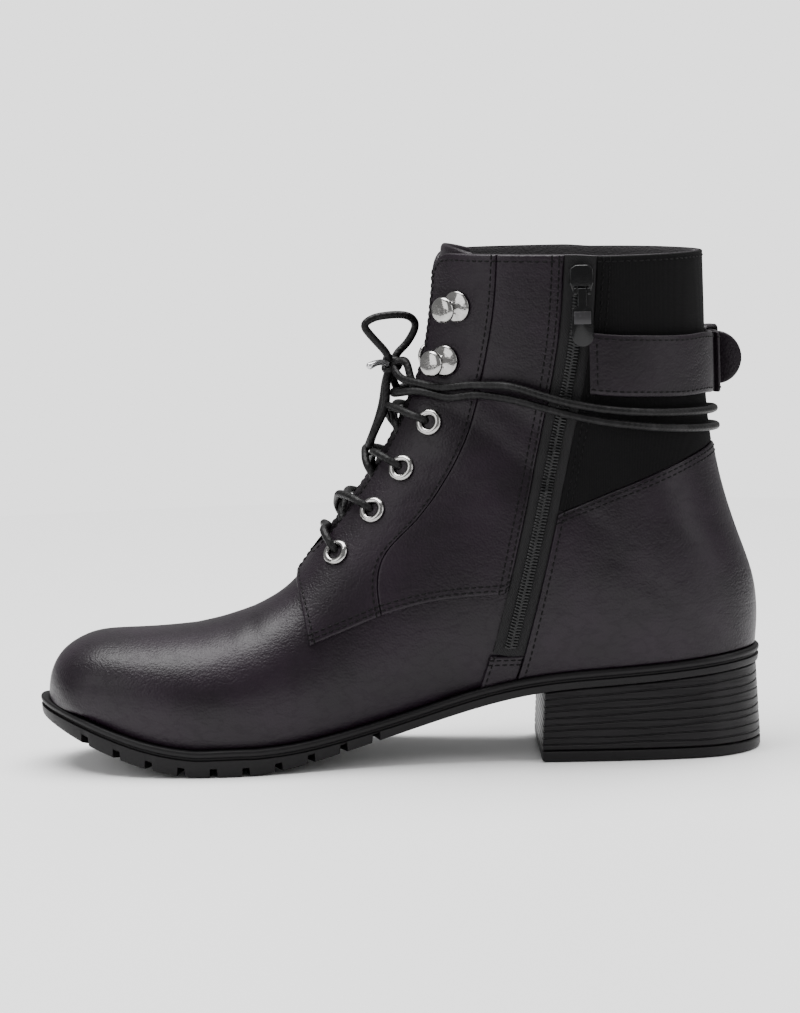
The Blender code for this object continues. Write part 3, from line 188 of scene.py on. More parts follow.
def spline(knots, values):
    """Natural cubic spline through the values, which may have several columns."""
    knots = np.asarray(knots, float)
    values = np.asarray(values, float)
    steps = np.diff(knots)
    count = len(knots)
    system = np.eye(count)
    right = np.zeros_like(values)
    for row in range(1, count - 1):
        system[row, row - 1:row + 2] = steps[row - 1], 2 * (steps[row - 1] + steps[row]), steps[row]
        right[row] = 6 * ((values[row + 1] - values[row]) / steps[row]
                          - (values[row] - values[row - 1]) / steps[row - 1])
    bends = np.linalg.solve(system, right)

    def at(where):
        where = np.asarray(where, float)
        span = np.clip(np.searchsorted(knots, where) - 1, 0, count - 2)
        shape = where.shape + (1,) * (values.ndim - 1)
        before = (knots[span + 1] - where).reshape(shape)
        after = (where - knots[span]).reshape(shape)
        step = steps[span].reshape(shape)
        cubic = (bends[span] * before ** 3 + bends[span + 1] * after ** 3) / (6 * step)
        return (cubic + (values[span] / step - bends[span] * step / 6) * before
                + (values[span + 1] / step - bends[span + 1] * step / 6) * after)

    return at


def lengths_of(points):
    points = np.asarray(points, float)
    return np.concatenate(([0.0], np.cumsum(np.linalg.norm(np.diff(points, axis=0), axis=1))))


def smooth_path(points, pitch):
    """Points about a pitch apart on a smooth curve through the given points."""
    lengths = lengths_of(points)
    at = spline(lengths, points)
    return at(np.linspace(0, lengths[-1], max(int(round(lengths[-1] / pitch)), 2) + 1))


def lay_uvs(mesh, uvs):
    """Gives a mesh the pair of coordinates of each of its points."""
    corners = np.empty(len(mesh.loops), dtype=np.int32)
    mesh.loops.foreach_get("vertex_index", corners)
    mesh.uv_layers.new(name="UVMap").data.foreach_set("uv", np.asarray(uvs, np.float32)[corners].ravel())


def add_mesh(name, points, faces, finish, uvs=None, smooth=True, crease=40.0):
    """One mesh object; uvs gives a pair for each point, where a finish follows the piece."""
    mesh = bpy.data.meshes.new(name)
    mesh.from_pydata([tuple(point) for point in points], [], faces)
    mesh.materials.append(finish)
    if uvs is not None:
        lay_uvs(mesh, uvs)
    mesh.update()
    if smooth:
        mesh.shade_smooth()
        mesh.set_sharp_from_angle(angle=math.radians(crease))
    made = bpy.data.objects.new(name, mesh)
    bpy.context.collection.objects.link(made)
    return made


def band_faces(rows, size, first=0, wrap=True, closed=False):
    """Faces between rings of points that follow each other; closed joins the last to the first."""
    faces = []
    for row in range(rows if closed else rows - 1):
        low = first + row * size
        high = first + (row + 1) % rows * size
        faces += [(low + step, low + (step + 1) % size, high + (step + 1) % size, high + step)
                  for step in range(size if wrap else size - 1)]
    return faces


def tubes(name, paths, radius, sides, finish, thin=None):
    """Round cords along paths in one mesh, with domed ends; thin narrows a share of the way."""
    points = []
    faces = []
    uvs = []
    for path in paths:
        path = [Vector(place) for place in path]
        lengths = lengths_of(path)
        out = None
        rings = []
        last = len(path) - 1
        for number, place in enumerate(path):
            way = (path[min(number + 1, last)] - path[max(number - 1, 0)]).normalized()
            out = way.orthogonal() if out is None else out
            out = (out - way * out.dot(way)).normalized()
            wide = radius * (thin(lengths[number] / lengths[-1]) if thin else 1.0)
            rings.append((place, way, out.copy(), wide, lengths[number]))
        before, after = ([(end[0] + end[1] * end[3] * rise * 0.8 * sign, *end[1:3], end[3] * wide, end[4])
                          for rise, wide in DOME] for end, sign in ((rings[0], -1), (rings[-1], 1)))
        rings = before[::-1] + rings + after
        start = len(points)
        for place, way, out, wide, length in rings:
            beside = way.cross(out)
            for corner in range(sides + 1):
                angle = 2 * math.pi * corner / sides
                points.append(place + (out * math.cos(angle) + beside * math.sin(angle)) * wide)
                uvs.append((length, corner / sides))
        faces += band_faces(len(rings), sides + 1, start, wrap=False)
        faces.append(tuple(range(start, start + sides))[::-1])
        top = start + (len(rings) - 1) * (sides + 1)
        faces.append(tuple(range(top, top + sides)))
    return add_mesh(name, points, faces, finish, uvs, crease=60.0)


def braided_cord():
    """Black braided cord under wax: crossed ribs that run round it, worn a little grey."""
    look = Finish("braided_cord", (0.0035, 0.0033, 0.0036), 0.48,
                  Coat_Roughness=0.35, Specular_IOR_Level=0.17)
    along, around, _ = look.axes(look.port.node("ShaderNodeUVMap", {"uv_map": "UVMap"}, {}))
    along = along * (1 / RIB_PITCH)
    around = around * RIBS_ROUND
    plait = look.port.math("MAXIMUM", look.wave(along + around, 1.0), look.wave(along - around, 1.0))
    plait = plait * 0.5 + 0.5
    wax = look.noise(0.004, 3.0)
    look.colour(wax.step(0.35, 0.75), (0.0022, 0.0020, 0.0022), (0.0065, 0.0060, 0.0065))
    (0.40 + wax * 0.22).into(look.shader, "Roughness")
    (0.04 + wax.step(0.5, 0.8) * 0.16).into(look.shader, "Coat Weight")
    look.relief(plait * 0.8 + wax * 0.2, 0.00016, 0.8)
    return look.material


def finish_piece(piece, slot, *nodes, body="boot"):
    """What a piece rides on, a material slot that is not used, and the solids that it stands for."""
    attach(piece, body)
    if nodes:
        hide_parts(*nodes)


CORD = braided_cord()
KNOT_PLACE = (-0.0965, -0.0009, 0.1466)

# Routes of the free lace as the solids have them, in metres
LOOP_UP = ((-0.0983, -0.0036, 0.1510), (-0.1014, -0.0046, 0.1549), (-0.1047, -0.0056, 0.1589),
           (-0.1060, -0.0058, 0.1616), (-0.1036, -0.0055, 0.1638), (-0.0990, -0.0048, 0.1649),
           (-0.0935, -0.0034, 0.1651), (-0.0890, -0.0012, 0.1639), (-0.0872, 0.0012, 0.1610),
           (-0.0886, 0.0026, 0.1568), (-0.0912, 0.0024, 0.1532), (-0.0938, 0.0012, 0.1507))
LOOP_DOWN = ((-0.0980, -0.0029, 0.1419), (-0.0986, -0.0052, 0.1365), (-0.0992, -0.0070, 0.1310),
             (-0.1015, -0.0080, 0.1260), (-0.1037, -0.0080, 0.1216), (-0.1050, -0.0055, 0.1176),
             (-0.1054, -0.0010, 0.1162), (-0.1046, 0.0030, 0.1182), (-0.1024, 0.0046, 0.1228),
             (-0.0996, 0.0044, 0.1290), (-0.0985, 0.0029, 0.1358), (-0.0980, 0.0009, 0.1419))
END_LONG = ((-0.0976, 0.0039, 0.1436), (-0.0989, 0.0073, 0.1388), (-0.0998, 0.0096, 0.1330),
            (-0.1011, 0.0108, 0.1275), (-0.1032, 0.0112, 0.1215), (-0.1058, 0.0108, 0.1152))
END_SHORT = ((-0.1003, -0.0046, 0.1476), (-0.1026, -0.0066, 0.1474), (-0.1046, -0.0080, 0.1466))

for name, route, far_end in (("loop_up", LOOP_UP, "object"), ("loop_down", LOOP_DOWN, "object"),
                             ("end_long", END_LONG, "bare")):
    inside = [tuple(Vector(end).lerp(Vector(KNOT_PLACE), TUCK)) for end in (route[0], route[-1])]
    route = [inside[0], *route] + ([] if far_end == "bare" else [inside[1]])
    path = smooth_path(route, 0.0008)
    piece = tubes("bow_" + name, [path], LACE_RADIUS, CORD_SIDES, CORD)
    finish_piece(piece, "cord", "lace_" + name)
    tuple(path[0])
    lengths_of(path)[-1]
    [list(place) for place in path]

# Knot and tip
# The knot is the same cord drawn tight round itself. The short end carries a clear tip.
KNOT_SIZE = 0.00098
KNOT_DEPTH = 1.15
turns = np.linspace(0, 2 * math.pi, 121)[:-1]
knot_line = np.stack([np.sin(turns) + 2 * np.sin(2 * turns), np.cos(turns) - 2 * np.cos(2 * turns),
                      -KNOT_DEPTH * np.sin(3 * turns)], axis=1) * KNOT_SIZE
spin = np.array(Matrix.Rotation(math.radians(35), 3, "Y") @ Matrix.Rotation(math.radians(70), 3, "X"))
knot = tubes("bow_knot", [knot_line @ spin.T + np.array(KNOT_PLACE)], LACE_RADIUS * 0.98, 12, CORD)
finish_piece(knot, "cord", "lace_knot")

clear_tip = Finish("lace_tip", (0.55, 0.55, 0.56), 0.12, 0.85)
(0.08 + clear_tip.noise(0.0015) * 0.22).into(clear_tip.shader, "Roughness")
tip_path = smooth_path([tuple(Vector(END_SHORT[0]).lerp(Vector(KNOT_PLACE), TUCK)), *END_SHORT], 0.0005)
tip = tubes("bow_tip", [tip_path], LACE_RADIUS * 0.93, CORD_SIDES, clear_tip.material,
            lambda share: 0.92 + 0.08 * math.cos(6.3 * share))
finish_piece(tip, "cord", "lace_end_short")


# Floor and light
# A plain pale studio floor, with large soft lights above and on both sides.
FLOOR_RADIUS = 0.80
FLOOR_MIDDLE = -0.1
FLOOR_DROP = 0.0002
pale = Finish("studio_floor", (0.90, 0.90, 0.90), 0.35)
(0.34 + pale.noise(0.3) * 0.06).into(pale.shader, "Roughness")
rim = [(FLOOR_RADIUS * math.cos(angle) + FLOOR_MIDDLE, FLOOR_RADIUS * math.sin(angle), -FLOOR_DROP)
       for angle in np.linspace(0, 2 * math.pi, 121)[:-1]]
floor = add_mesh("studio_floor", rim, [tuple(range(120))], pale.material, smooth=False)
floor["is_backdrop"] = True

AROUND = 0.43
BEHIND = 2.06
world = bpy.data.worlds.new("studio")
bpy.context.scene.world = world
world.use_nodes = True
backdrop = Port(world.node_tree)
around, behind = (backdrop.node("ShaderNodeBackground", {}, {"Color": (1.0,) * 4, "Strength": power})
                  for power in (AROUND, BEHIND))
seen = backdrop.node("ShaderNodeLightPath", {}, {}, "Is Camera Ray")
both = backdrop.node("ShaderNodeMixShader", {}, {0: seen, 1: around, 2: behind})
both.into(world.node_tree.nodes["World Output"], "Surface")


def softbox(name, place, target, size, power):
    data = bpy.data.lights.new(name, "AREA")
    data.shape = "RECTANGLE"
    data.size = size[0]
    data.size_y = size[1]
    data.energy = power
    lamp = bpy.data.objects.new(name, data)
    bpy.context.collection.objects.link(lamp)
    lamp.location = place
    lamp.rotation_mode = "QUATERNION"
    lamp.rotation_quaternion = (Vector(target) - Vector(place)).to_track_quat("-Z", "Y")


softbox("top_light", (-0.20, 0.25, 2.60), (-0.12, 0.0, 0.0), (3.2, 1.7), 215.0)
softbox("toe_light", (-1.15, -0.75, 0.55), (-0.15, 0.0, 0.06), (0.7, 0.9), 6.0)
softbox("heel_light", (1.05, -0.55, 0.55), (0.0, 0.0, 0.08), (0.6, 0.9), 5.0)


# Form of the last
# Every leather piece follows one form: sections that run from the ridge of the instep down
# to the sole's edge, and further up from the front of the shaft to the seam at the back.
BALL_WIDTH = 0.090
HEEL_HEIGHT = 0.0324
TOE_SPRING = 0.0194
SOLE_THICKNESS = 0.0098
UPPER_HEIGHT = 0.149
WELT_LEDGE = 0.0032
SEAT = 0.0003

# Sole from the side: along from heel to toe, shares of heel height, toe spring, thickness
SOLE_PROFILE = (
    (0.000, 1.000, 0.000, 0.65),
    (0.033, 0.985, 0.000, 0.65),
    (0.122, 0.920, 0.000, 0.65),
    (0.222, 0.858, 0.000, 0.66),
    (0.315, 0.784, 0.000, 0.67),
    (0.393, 0.642, 0.000, 0.70),
    (0.493, 0.395, 0.000, 0.71),
    (0.559, 0.238, 0.000, 0.76),
    (0.652, 0.056, 0.000, 0.90),
    (0.700, 0.000, 0.000, 1.00),
    (0.780, 0.000, 0.000, 1.00),
    (0.822, 0.000, 0.075, 1.00),
    (0.889, 0.000, 0.330, 0.98),
    (0.944, 0.000, 0.630, 0.92),
    (1.000, 0.000, 1.000, 0.71),
)

# Sole from above: along, medial and lateral half width as shares of the ball width
OUTLINE = (
    (0.00, 0.000, 0.000),
    (0.03, 0.222, 0.227),
    (0.07, 0.302, 0.309),
    (0.12, 0.331, 0.342),
    (0.20, 0.340, 0.358),
    (0.30, 0.329, 0.371),
    (0.42, 0.316, 0.396),
    (0.54, 0.347, 0.438),
    (0.64, 0.429, 0.484),
    (0.72, 0.482, 0.513),
    (0.80, 0.478, 0.502),
    (0.87, 0.429, 0.442),
    (0.93, 0.334, 0.334),
    (0.97, 0.222, 0.219),
    (1.00, 0.000, 0.000),
)

# Sections: ridge along, ridge rise, medial and lateral half width, where it is widest,
# fullness of the upper and lower arc, lean to the medial side
SECTIONS = (
    (0.988, 0.000, 0.275, 0.275, 0.02, 2.0, 2.0, 0.00),
    (0.984, 0.058, 0.304, 0.303, 0.12, 2.1, 2.0, 0.01),
    (0.969, 0.119, 0.325, 0.325, 0.18, 2.2, 2.0, 0.02),
    (0.942, 0.171, 0.348, 0.351, 0.22, 2.3, 2.0, 0.03),
    (0.906, 0.213, 0.381, 0.389, 0.25, 2.3, 2.0, 0.04),
    (0.852, 0.248, 0.427, 0.446, 0.27, 2.2, 2.0, 0.06),
    (0.796, 0.274, 0.457, 0.481, 0.27, 2.1, 2.0, 0.07),
    (0.741, 0.294, 0.463, 0.492, 0.27, 2.0, 2.0, 0.07),
    (0.689, 0.327, 0.443, 0.480, 0.28, 2.0, 2.0, 0.07),
    (0.643, 0.378, 0.402, 0.453, 0.29, 1.9, 2.0, 0.07),
    (0.605, 0.457, 0.366, 0.424, 0.30, 1.9, 2.0, 0.06),
    (0.569, 0.533, 0.350, 0.399, 0.31, 1.9, 2.0, 0.05),
    (0.536, 0.610, 0.347, 0.383, 0.32, 1.9, 2.0, 0.04),
    (0.511, 0.675, 0.354, 0.374, 0.32, 1.9, 2.0, 0.03),
    (0.493, 0.733, 0.364, 0.371, 0.33, 1.95, 2.0, 0.02),
    (0.481, 0.780, 0.370, 0.371, 0.33, 2.0, 2.0, 0.02),
    (0.472, 0.819, 0.373, 0.373, 0.33, 2.0, 2.0, 0.01),
    (0.466, 0.853, 0.373, 0.373, 0.34, 2.0, 2.0, 0.01),
    (0.461, 0.884, 0.373, 0.373, 0.35, 2.0, 2.0, 0.00),
    (0.457, 0.915, 0.373, 0.373, 0.37, 2.0, 2.0, 0.00),
    (0.453, 0.947, 0.374, 0.374, 0.39, 2.0, 2.0, 0.00),
    (0.450, 0.978, 0.376, 0.376, 0.41, 2.0, 2.0, 0.00),
    (0.447, 1.011, 0.379, 0.379, 0.43, 2.0, 2.0, 0.00),
    (0.445, 1.043, 0.383, 0.383, 0.45, 2.0, 2.0, 0.00),
    (0.444, 1.072, 0.386, 0.386, 0.46, 2.0, 2.0, 0.00),
    (0.443, 1.102, 0.389, 0.389, 0.46, 2.0, 2.0, 0.00),
)

# Where the first sections end on the feather line, as a turn from heel (0) to toe (1)
FOOT = (0.853, 0.844, 0.833, 0.818, 0.792, 0.745, 0.702, 0.660, 0.616, 0.571, 0.526, 0.476,
        0.424, 0.364, 0.295, 0.213, 0.000)

# Where the later sections end on the back seam: along, rise
BACK = (
    (0.012, 0.000),
    (0.009, 0.075),
    (0.014, 0.169),
    (0.033, 0.277),
    (0.053, 0.398),
    (0.066, 0.518),
    (0.073, 0.653),
    (0.0735, 0.805),
    (0.0745, 0.961),
    (0.0745, 1.001),
)


def sole_x(along):
    return HEEL_BACK - along * SOLE_LENGTH


def turn_of(along):
    """Turn from heel (0) to toe (1), which spaces points evenly round both ends."""
    return np.arccos(1 - 2 * np.clip(along, 0.0, 1.0)) / math.pi


sole_side = spline(np.array(SOLE_PROFILE)[:, 0], np.array(SOLE_PROFILE)[:, 1:])
sole_plan = spline(turn_of(np.array(OUTLINE)[:, 0]), np.array(OUTLINE)[:, 1:])


def sole_heights(x):
    """Bottom and top of the sole."""
    shares = sole_side(np.clip((HEEL_BACK - np.asarray(x, float)) / SOLE_LENGTH, 0.0, 1.0))
    bottom = np.maximum(shares[..., 0] * HEEL_HEIGHT + shares[..., 1] * TOE_SPRING, 0.0)
    return bottom, bottom + shares[..., 2] * SOLE_THICKNESS


def sole_edge(turn, side, inset):
    """Points of the sole's outline from above, moved inwards square to it."""
    turn = np.atleast_1d(np.asarray(turn, float))

    def plan(at):
        half = sole_plan(at)[:, 0 if side < 0 else 1] * BALL_WIDTH
        return np.stack([sole_x((1 - np.cos(math.pi * at)) / 2), side * half], axis=1)

    step = 0.001
    way = plan(np.clip(turn + step, 0, 1)) - plan(np.clip(turn - step, 0, 1))
    way[turn < step] = (0.0, side)
    way[turn > 1 - step] = (0.0, -side)
    way /= np.linalg.norm(way, axis=1)[:, None]
    outward = np.stack([way[:, 1], -way[:, 0]], axis=1) * side
    return plan(turn) - outward * inset


HEEL_ROW = len(FOOT) - 1
TOP_ROW = len(SECTIONS) - 1
section_at = spline(range(len(SECTIONS)), np.array(SECTIONS))
foot_at = spline(range(len(FOOT)), np.array(FOOT))
back_at = spline(range(HEEL_ROW, TOP_ROW + 1), np.array(BACK))


def section(u, side):
    """Points of one half section from the ridge down."""
    ridge_along, ridge_rise, medial, lateral, widest, top_full, low_full, lean = section_at(u)
    ridge_x = sole_x(ridge_along)
    ridge = np.array([ridge_x, sole_heights(ridge_x)[1] + SEAT + ridge_rise * UPPER_HEIGHT])
    if u < HEEL_ROW:
        edge = sole_edge(max(float(foot_at(u)), 0.0), side, WELT_LEDGE)[0]
        base = np.array([edge[0], sole_heights(edge[0])[1] + SEAT])
        base_half = abs(edge[1])
    else:
        back_along, back_rise = back_at(u)
        back_x = sole_x(back_along)
        base = np.array([back_x, sole_heights(back_x)[1] + SEAT + back_rise * UPPER_HEIGHT])
        base_half = 0.0
    half = max((medial if side < 0 else lateral) * BALL_WIDTH, base_half)
    angle = np.linspace(math.pi / 2, 0, 61)
    share = widest + (1 - widest) * np.sin(angle) ** (2 / top_full)
    reach = half * np.maximum(np.cos(angle), 0.0) ** (2 / top_full)
    low = np.linspace(0, math.pi / 2, 61)[1:]
    kept = 1 - (base_half / half) ** low_full
    share = np.concatenate([share, widest * (1 - np.sin(low))])
    reach = np.concatenate([reach, half * np.maximum(1 - kept * np.sin(low) ** low_full, 0.0)
                            ** (1 / low_full)])
    span = ridge - base
    return np.stack([base[0] + span[0] * share, -lean * BALL_WIDTH * share + side * reach,
                     base[1] + span[1] * share], axis=1)


ROW_STEPS = 18
COLUMN_STEPS = 130
form_rows = np.linspace(0, TOP_ROW, TOP_ROW * ROW_STEPS + 1)
half_shares = np.linspace(0, 1, COLUMN_STEPS + 1)
form = np.empty((len(form_rows), 2 * COLUMN_STEPS + 1, 3))
girths = np.empty((len(form_rows), 2))
for number, u in enumerate(form_rows):
    for index, side in enumerate((-1, 1)):
        line = section(u, side)
        lengths = lengths_of(line)
        girths[number, index] = lengths[-1]
        even = np.stack([np.interp(half_shares * lengths[-1], lengths, line[:, axis])
                         for axis in range(3)], axis=1)
        if side < 0:
            form[number, :COLUMN_STEPS + 1] = even[::-1]
        else:
            form[number, COLUMN_STEPS:] = even


def normals_of(grid, closed_rows=None):
    """Unit normals of a grid of points; rows marked closed meet behind."""
    up = np.gradient(grid, axis=0)
    across = np.gradient(grid, axis=1)
    if closed_rows is not None:
        seam_way = (grid[closed_rows, 1] - grid[closed_rows, -2]) / 2
        across[closed_rows, 0] = seam_way
        across[closed_rows, -1] = seam_way
    normal = np.cross(across, up)
    return normal / np.maximum(np.linalg.norm(normal, axis=2), 1e-12)[..., None]


form_normals = -normals_of(form, form_rows >= HEEL_ROW)
if form_normals[len(form_rows) // 2, COLUMN_STEPS][0] > 0:
    form_normals = -form_normals


def sampled(table, u, v):
    """Value of a table over the form between its rows and columns."""
    u = np.clip(np.asarray(u, float), 0, TOP_ROW)
    v = np.asarray(v, float)
    v = np.where(np.abs(v) > 1, -np.sign(v) * (2 - np.abs(v)), v)
    row = np.clip(u * ROW_STEPS, 0, len(form_rows) - 1.001)
    column = np.clip((v + 1) * COLUMN_STEPS, 0, 2 * COLUMN_STEPS - 0.001)
    low_row = row.astype(int)
    low_column = column.astype(int)
    part_row = (row - low_row)[..., None]
    part_column = (column - low_column)[..., None]
    return ((table[low_row, low_column] * (1 - part_row) + table[low_row + 1, low_column] * part_row)
            * (1 - part_column)
            + (table[low_row, low_column + 1] * (1 - part_row)
               + table[low_row + 1, low_column + 1] * part_row) * part_column)


def on_form(u, v, lift=0.0):
    normal = sampled(form_normals, u, v)
    normal = normal / np.linalg.norm(normal, axis=-1, keepdims=True)
    return sampled(form, u, v) + normal * np.asarray(lift)[..., None], normal


def girth(u, side):
    return float(np.interp(u, form_rows, girths[:, 0 if side < 0 else 1]))


def side_place(along, rise):
    """Side view place from its shares."""
    x = sole_x(along)
    return x, float(sole_heights(x)[1]) + rise * UPPER_HEIGHT


def locate(x, z, side):
    """Row and share of the form under a point seen from the side."""
    half = form[:, :COLUMN_STEPS + 1] if side < 0 else form[:, COLUMN_STEPS:]
    off = (half[..., 0] - x) ** 2 + (half[..., 2] - z) ** 2
    row, column = np.unravel_index(np.argmin(off), off.shape)
    u = form_rows[row]
    v = column / COLUMN_STEPS - (1 if side < 0 else 0)
    for _ in range(6):
        here = sampled(form, u, v)
        du = (sampled(form, min(u + 0.05, TOP_ROW), v) - here) / 0.05
        dv = (sampled(form, u, v - side * 0.01) - here) / (-side * 0.01)
        det = du[0] * dv[2] - du[2] * dv[0]
        if abs(det) < 1e-6:
            break
        gap_x = x - here[0]
        gap_z = z - here[2]
        u += float(np.clip((gap_x * dv[2] - gap_z * dv[0]) / det, -0.3, 0.3))
        v += float(np.clip((gap_z * du[0] - gap_x * du[2]) / det, -0.02, 0.02))
        u = min(max(u, 0.0), float(TOP_ROW))
        v = min(max(v, -1.0), 0.0) if side < 0 else min(max(v, 0.0), 1.0)
    return u, v


def frame_at(u, v, lift):
    """Matrix on the upper: X rearwards along the side, Z outwards."""
    place, normal = on_form(u, v, lift)
    normal = Vector(normal)
    rear = Vector((0, 0, 1)).cross(normal).normalized()
    if rear.x < 0:
        rear = -rear
    turned = Matrix((rear, normal.cross(rear), normal)).transposed().to_4x4()
    turned.translation = Vector(place)
    return turned


corners = np.arange(form.shape[0] * form.shape[1]).reshape(form.shape[:2])
form_cells = np.stack([corners[:-1, :-1], corners[:-1, 1:], corners[1:, 1:], corners[1:, :-1]], axis=-1)
form_tree = BVHTree.FromPolygons(form.reshape(-1, 3).tolist(), form_cells.reshape(-1, 4).tolist())


def leather_finish(name, colour, grain=1.0, roughness=0.40):
    """Smooth coated leather: fine pebbled grain, faint long creases and a low, even gloss."""
    look = Finish(name, colour, roughness, Coat_Roughness=0.30, Specular_IOR_Level=0.19)
    drift = look.noise(0.004)
    bend = look.port.node("ShaderNodeCombineXYZ", {},
                          {"X": drift * 0.0016, "Y": drift * -0.0012, "Z": drift * 0.0014})
    moved = look.port.node("ShaderNodeVectorMath", {"operation": "ADD"}, {0: look.place, 1: bend})
    pebbles = look.port.node("ShaderNodeTexVoronoi", {"feature": "SMOOTH_F1"},
                             {"Vector": moved, "Scale": 1150.0, "Smoothness": 0.35}, "Distance")
    pores = look.noise(0.0005, place=moved)
    crease = 1.0 - abs(look.noise(0.009, 3.0, (1.0, 0.5, 1.9)) - 0.5).step(0.0, 0.06)
    cloud = look.noise(0.022, 3.0)
    look.colour(cloud.step(0.3, 0.7), np.multiply(colour, 0.72), np.multiply(colour, 1.30))
    (roughness - 0.06 + cloud * 0.10 + pores * 0.08).into(look.shader, "Roughness")
    (0.10 - crease * 0.05).into(look.shader, "Coat Weight")
    look.relief((1.0 - pebbles * 1.3) * 0.75 + pores * 0.30 - crease * 0.22, 0.00017 * grain, 0.75)
    return look.material


def grid_solid(name, grid, low, high, finish, keep=None, normals=None):
    """Closed wall over a grid of points, from low to high off it; keep marks its cells."""
    if normals is None:
        normals = normals_of(grid)
        near = form_tree.find_nearest(Vector(grid[grid.shape[0] // 2, grid.shape[1] // 2]))[0]
        middle = form[:, :, 1].mean() * np.array([0, 1, 0]) + np.array([near.x, 0.0, near.z])
        away = grid[grid.shape[0] // 2, grid.shape[1] // 2] - middle
        if abs(away[1]) < 0.004:
            away = np.array([np.sign(near.x + 0.045), 0.0, 0.0])
        if np.dot(normals[grid.shape[0] // 2, grid.shape[1] // 2], away) < 0:
            normals = -normals
    rows, columns = grid.shape[:2]
    outer = grid + normals * np.broadcast_to(high, (rows, columns))[..., None]
    inner = grid + normals * np.broadcast_to(low, (rows, columns))[..., None]
    points = np.concatenate([outer.reshape(-1, 3), inner.reshape(-1, 3)])
    index = np.arange(rows * columns).reshape(rows, columns)
    keep = np.ones((rows - 1, columns - 1), bool) if keep is None else keep
    cells = np.stack([index[:-1, :-1], index[:-1, 1:], index[1:, 1:], index[1:, :-1]], axis=-1)[keep]
    first = points[cells[0]]
    facing = np.cross(first[1] - first[0], first[3] - first[0])
    if np.dot(facing, normals.reshape(-1, 3)[cells[0][0]]) < 0:
        cells = cells[:, ::-1]
    size = rows * columns
    faces = cells.tolist() + (cells[:, ::-1] + size).tolist()
    edges = {}
    for cell in cells.tolist():
        for start, end in zip(cell, cell[1:] + cell[:1]):
            if (end, start) in edges:
                del edges[end, start]
            else:
                edges[start, end] = True
    faces += [(end, start, start + size, end + size) for start, end in edges]
    return add_mesh(name, points, faces, finish)


# Creases that walking leaves, seen from the side: side, from x, z to x, z, depth, width, in metres
CREASES = (
    (-1, -0.094, 0.106, -0.060, 0.112, 0.00035, 0.0028), (-1, -0.090, 0.098, -0.052, 0.103, 0.00040, 0.0030),
    (-1, -0.099, 0.090, -0.064, 0.092, 0.00030, 0.0026), (-1, -0.074, 0.118, -0.052, 0.124, 0.00025, 0.0022),
    (-1, -0.020, 0.078, 0.004, 0.066, 0.00045, 0.0035), (-1, -0.014, 0.070, 0.008, 0.060, 0.00030, 0.0026),
    (-1, 0.004, 0.092, 0.020, 0.084, 0.00030, 0.0030), (-1, -0.152, 0.058, -0.146, 0.040, 0.00035, 0.0032),
    (-1, -0.160, 0.052, -0.156, 0.034, 0.00030, 0.0030), (-1, -0.142, 0.050, -0.134, 0.032, 0.00025, 0.0028),
    (1, -0.094, 0.108, -0.050, 0.116, 0.00040, 0.0030), (1, -0.088, 0.097, -0.040, 0.104, 0.00035, 0.0028),
    (1, -0.060, 0.122, -0.022, 0.128, 0.00030, 0.0030), (1, -0.012, 0.080, 0.010, 0.070, 0.00040, 0.0034),
    (1, -0.152, 0.058, -0.144, 0.038, 0.00035, 0.0032), (1, -0.162, 0.052, -0.158, 0.032, 0.00030, 0.0030),
    (1, -0.140, 0.050, -0.130, 0.032, 0.00025, 0.0028),
)


def creased(grid):
    """Depth of the walking creases at each point, outwards positive."""
    depth = np.zeros(grid.shape[:-1])
    x = grid[..., 0]
    z = grid[..., 2]
    for side, x0, z0, x1, z1, deep, wide in CREASES:
        span = (x1 - x0) ** 2 + (z1 - z0) ** 2
        share = ((x - x0) * (x1 - x0) + (z - z0) * (z1 - z0)) / span
        near = np.clip(share, 0.0, 1.0)
        off = np.hypot(x - x0 - near * (x1 - x0), z - z0 - near * (z1 - z0))
        wave = 0.0012 * np.sin(share * 7.0)
        off = np.abs(off + wave * (share > 0) * (share < 1))
        fade = np.clip(np.minimum(share, 1 - share) * 4 + 0.35, 0.0, 1.0) * (grid[..., 1] * side > 0.003)
        ridge = 0.45 * np.exp(-((off - 1.9 * wide) / wide) ** 2)
        depth -= 0.45 * deep * fade * (np.exp(-(off / wide) ** 2) - ridge)
    return depth


# Upper
# The vamp and the walls under the overlays, one last-shaped wall of coated leather. It is
# open at the collar, down the throat and underneath, where it is lasted to the sole.
WALL = 0.0022
LINING = 0.0009
THROAT_END = 9.7
THROAT_HALF = 0.0100
THROAT_START = 0.62
THROAT_COLUMNS = 6
COLLAR_CORNER = 0.0090
COLLAR_STEP = 0.0010
TOP_ROW_PITCH = 0.030 * UPPER_HEIGHT
LEATHER = leather_finish("black_leather", (0.0062, 0.0030, 0.0061))
knit_lining = Finish("lining_cloth", (0.030, 0.028, 0.030), 0.85)
knit = knit_lining.port.node("ShaderNodeTexVoronoi", {},
                             {"Vector": knit_lining.place, "Scale": 1500.0}, "Distance")
knit_lining.colour(knit_lining.noise(0.012), (0.022, 0.020, 0.022), (0.042, 0.039, 0.042))
knit_lining.relief(knit, 0.0002)
LINING_CLOTH = knit_lining.material


def throat_reach(u):
    """Distance of the throat's edge from the ridge along a section."""
    grown = np.clip((u - THROAT_END) / 2.6, 0.0, 1.0)
    return THROAT_HALF * (THROAT_START + (1 - THROAT_START) * np.sqrt(1 - (1 - grown) ** 2))


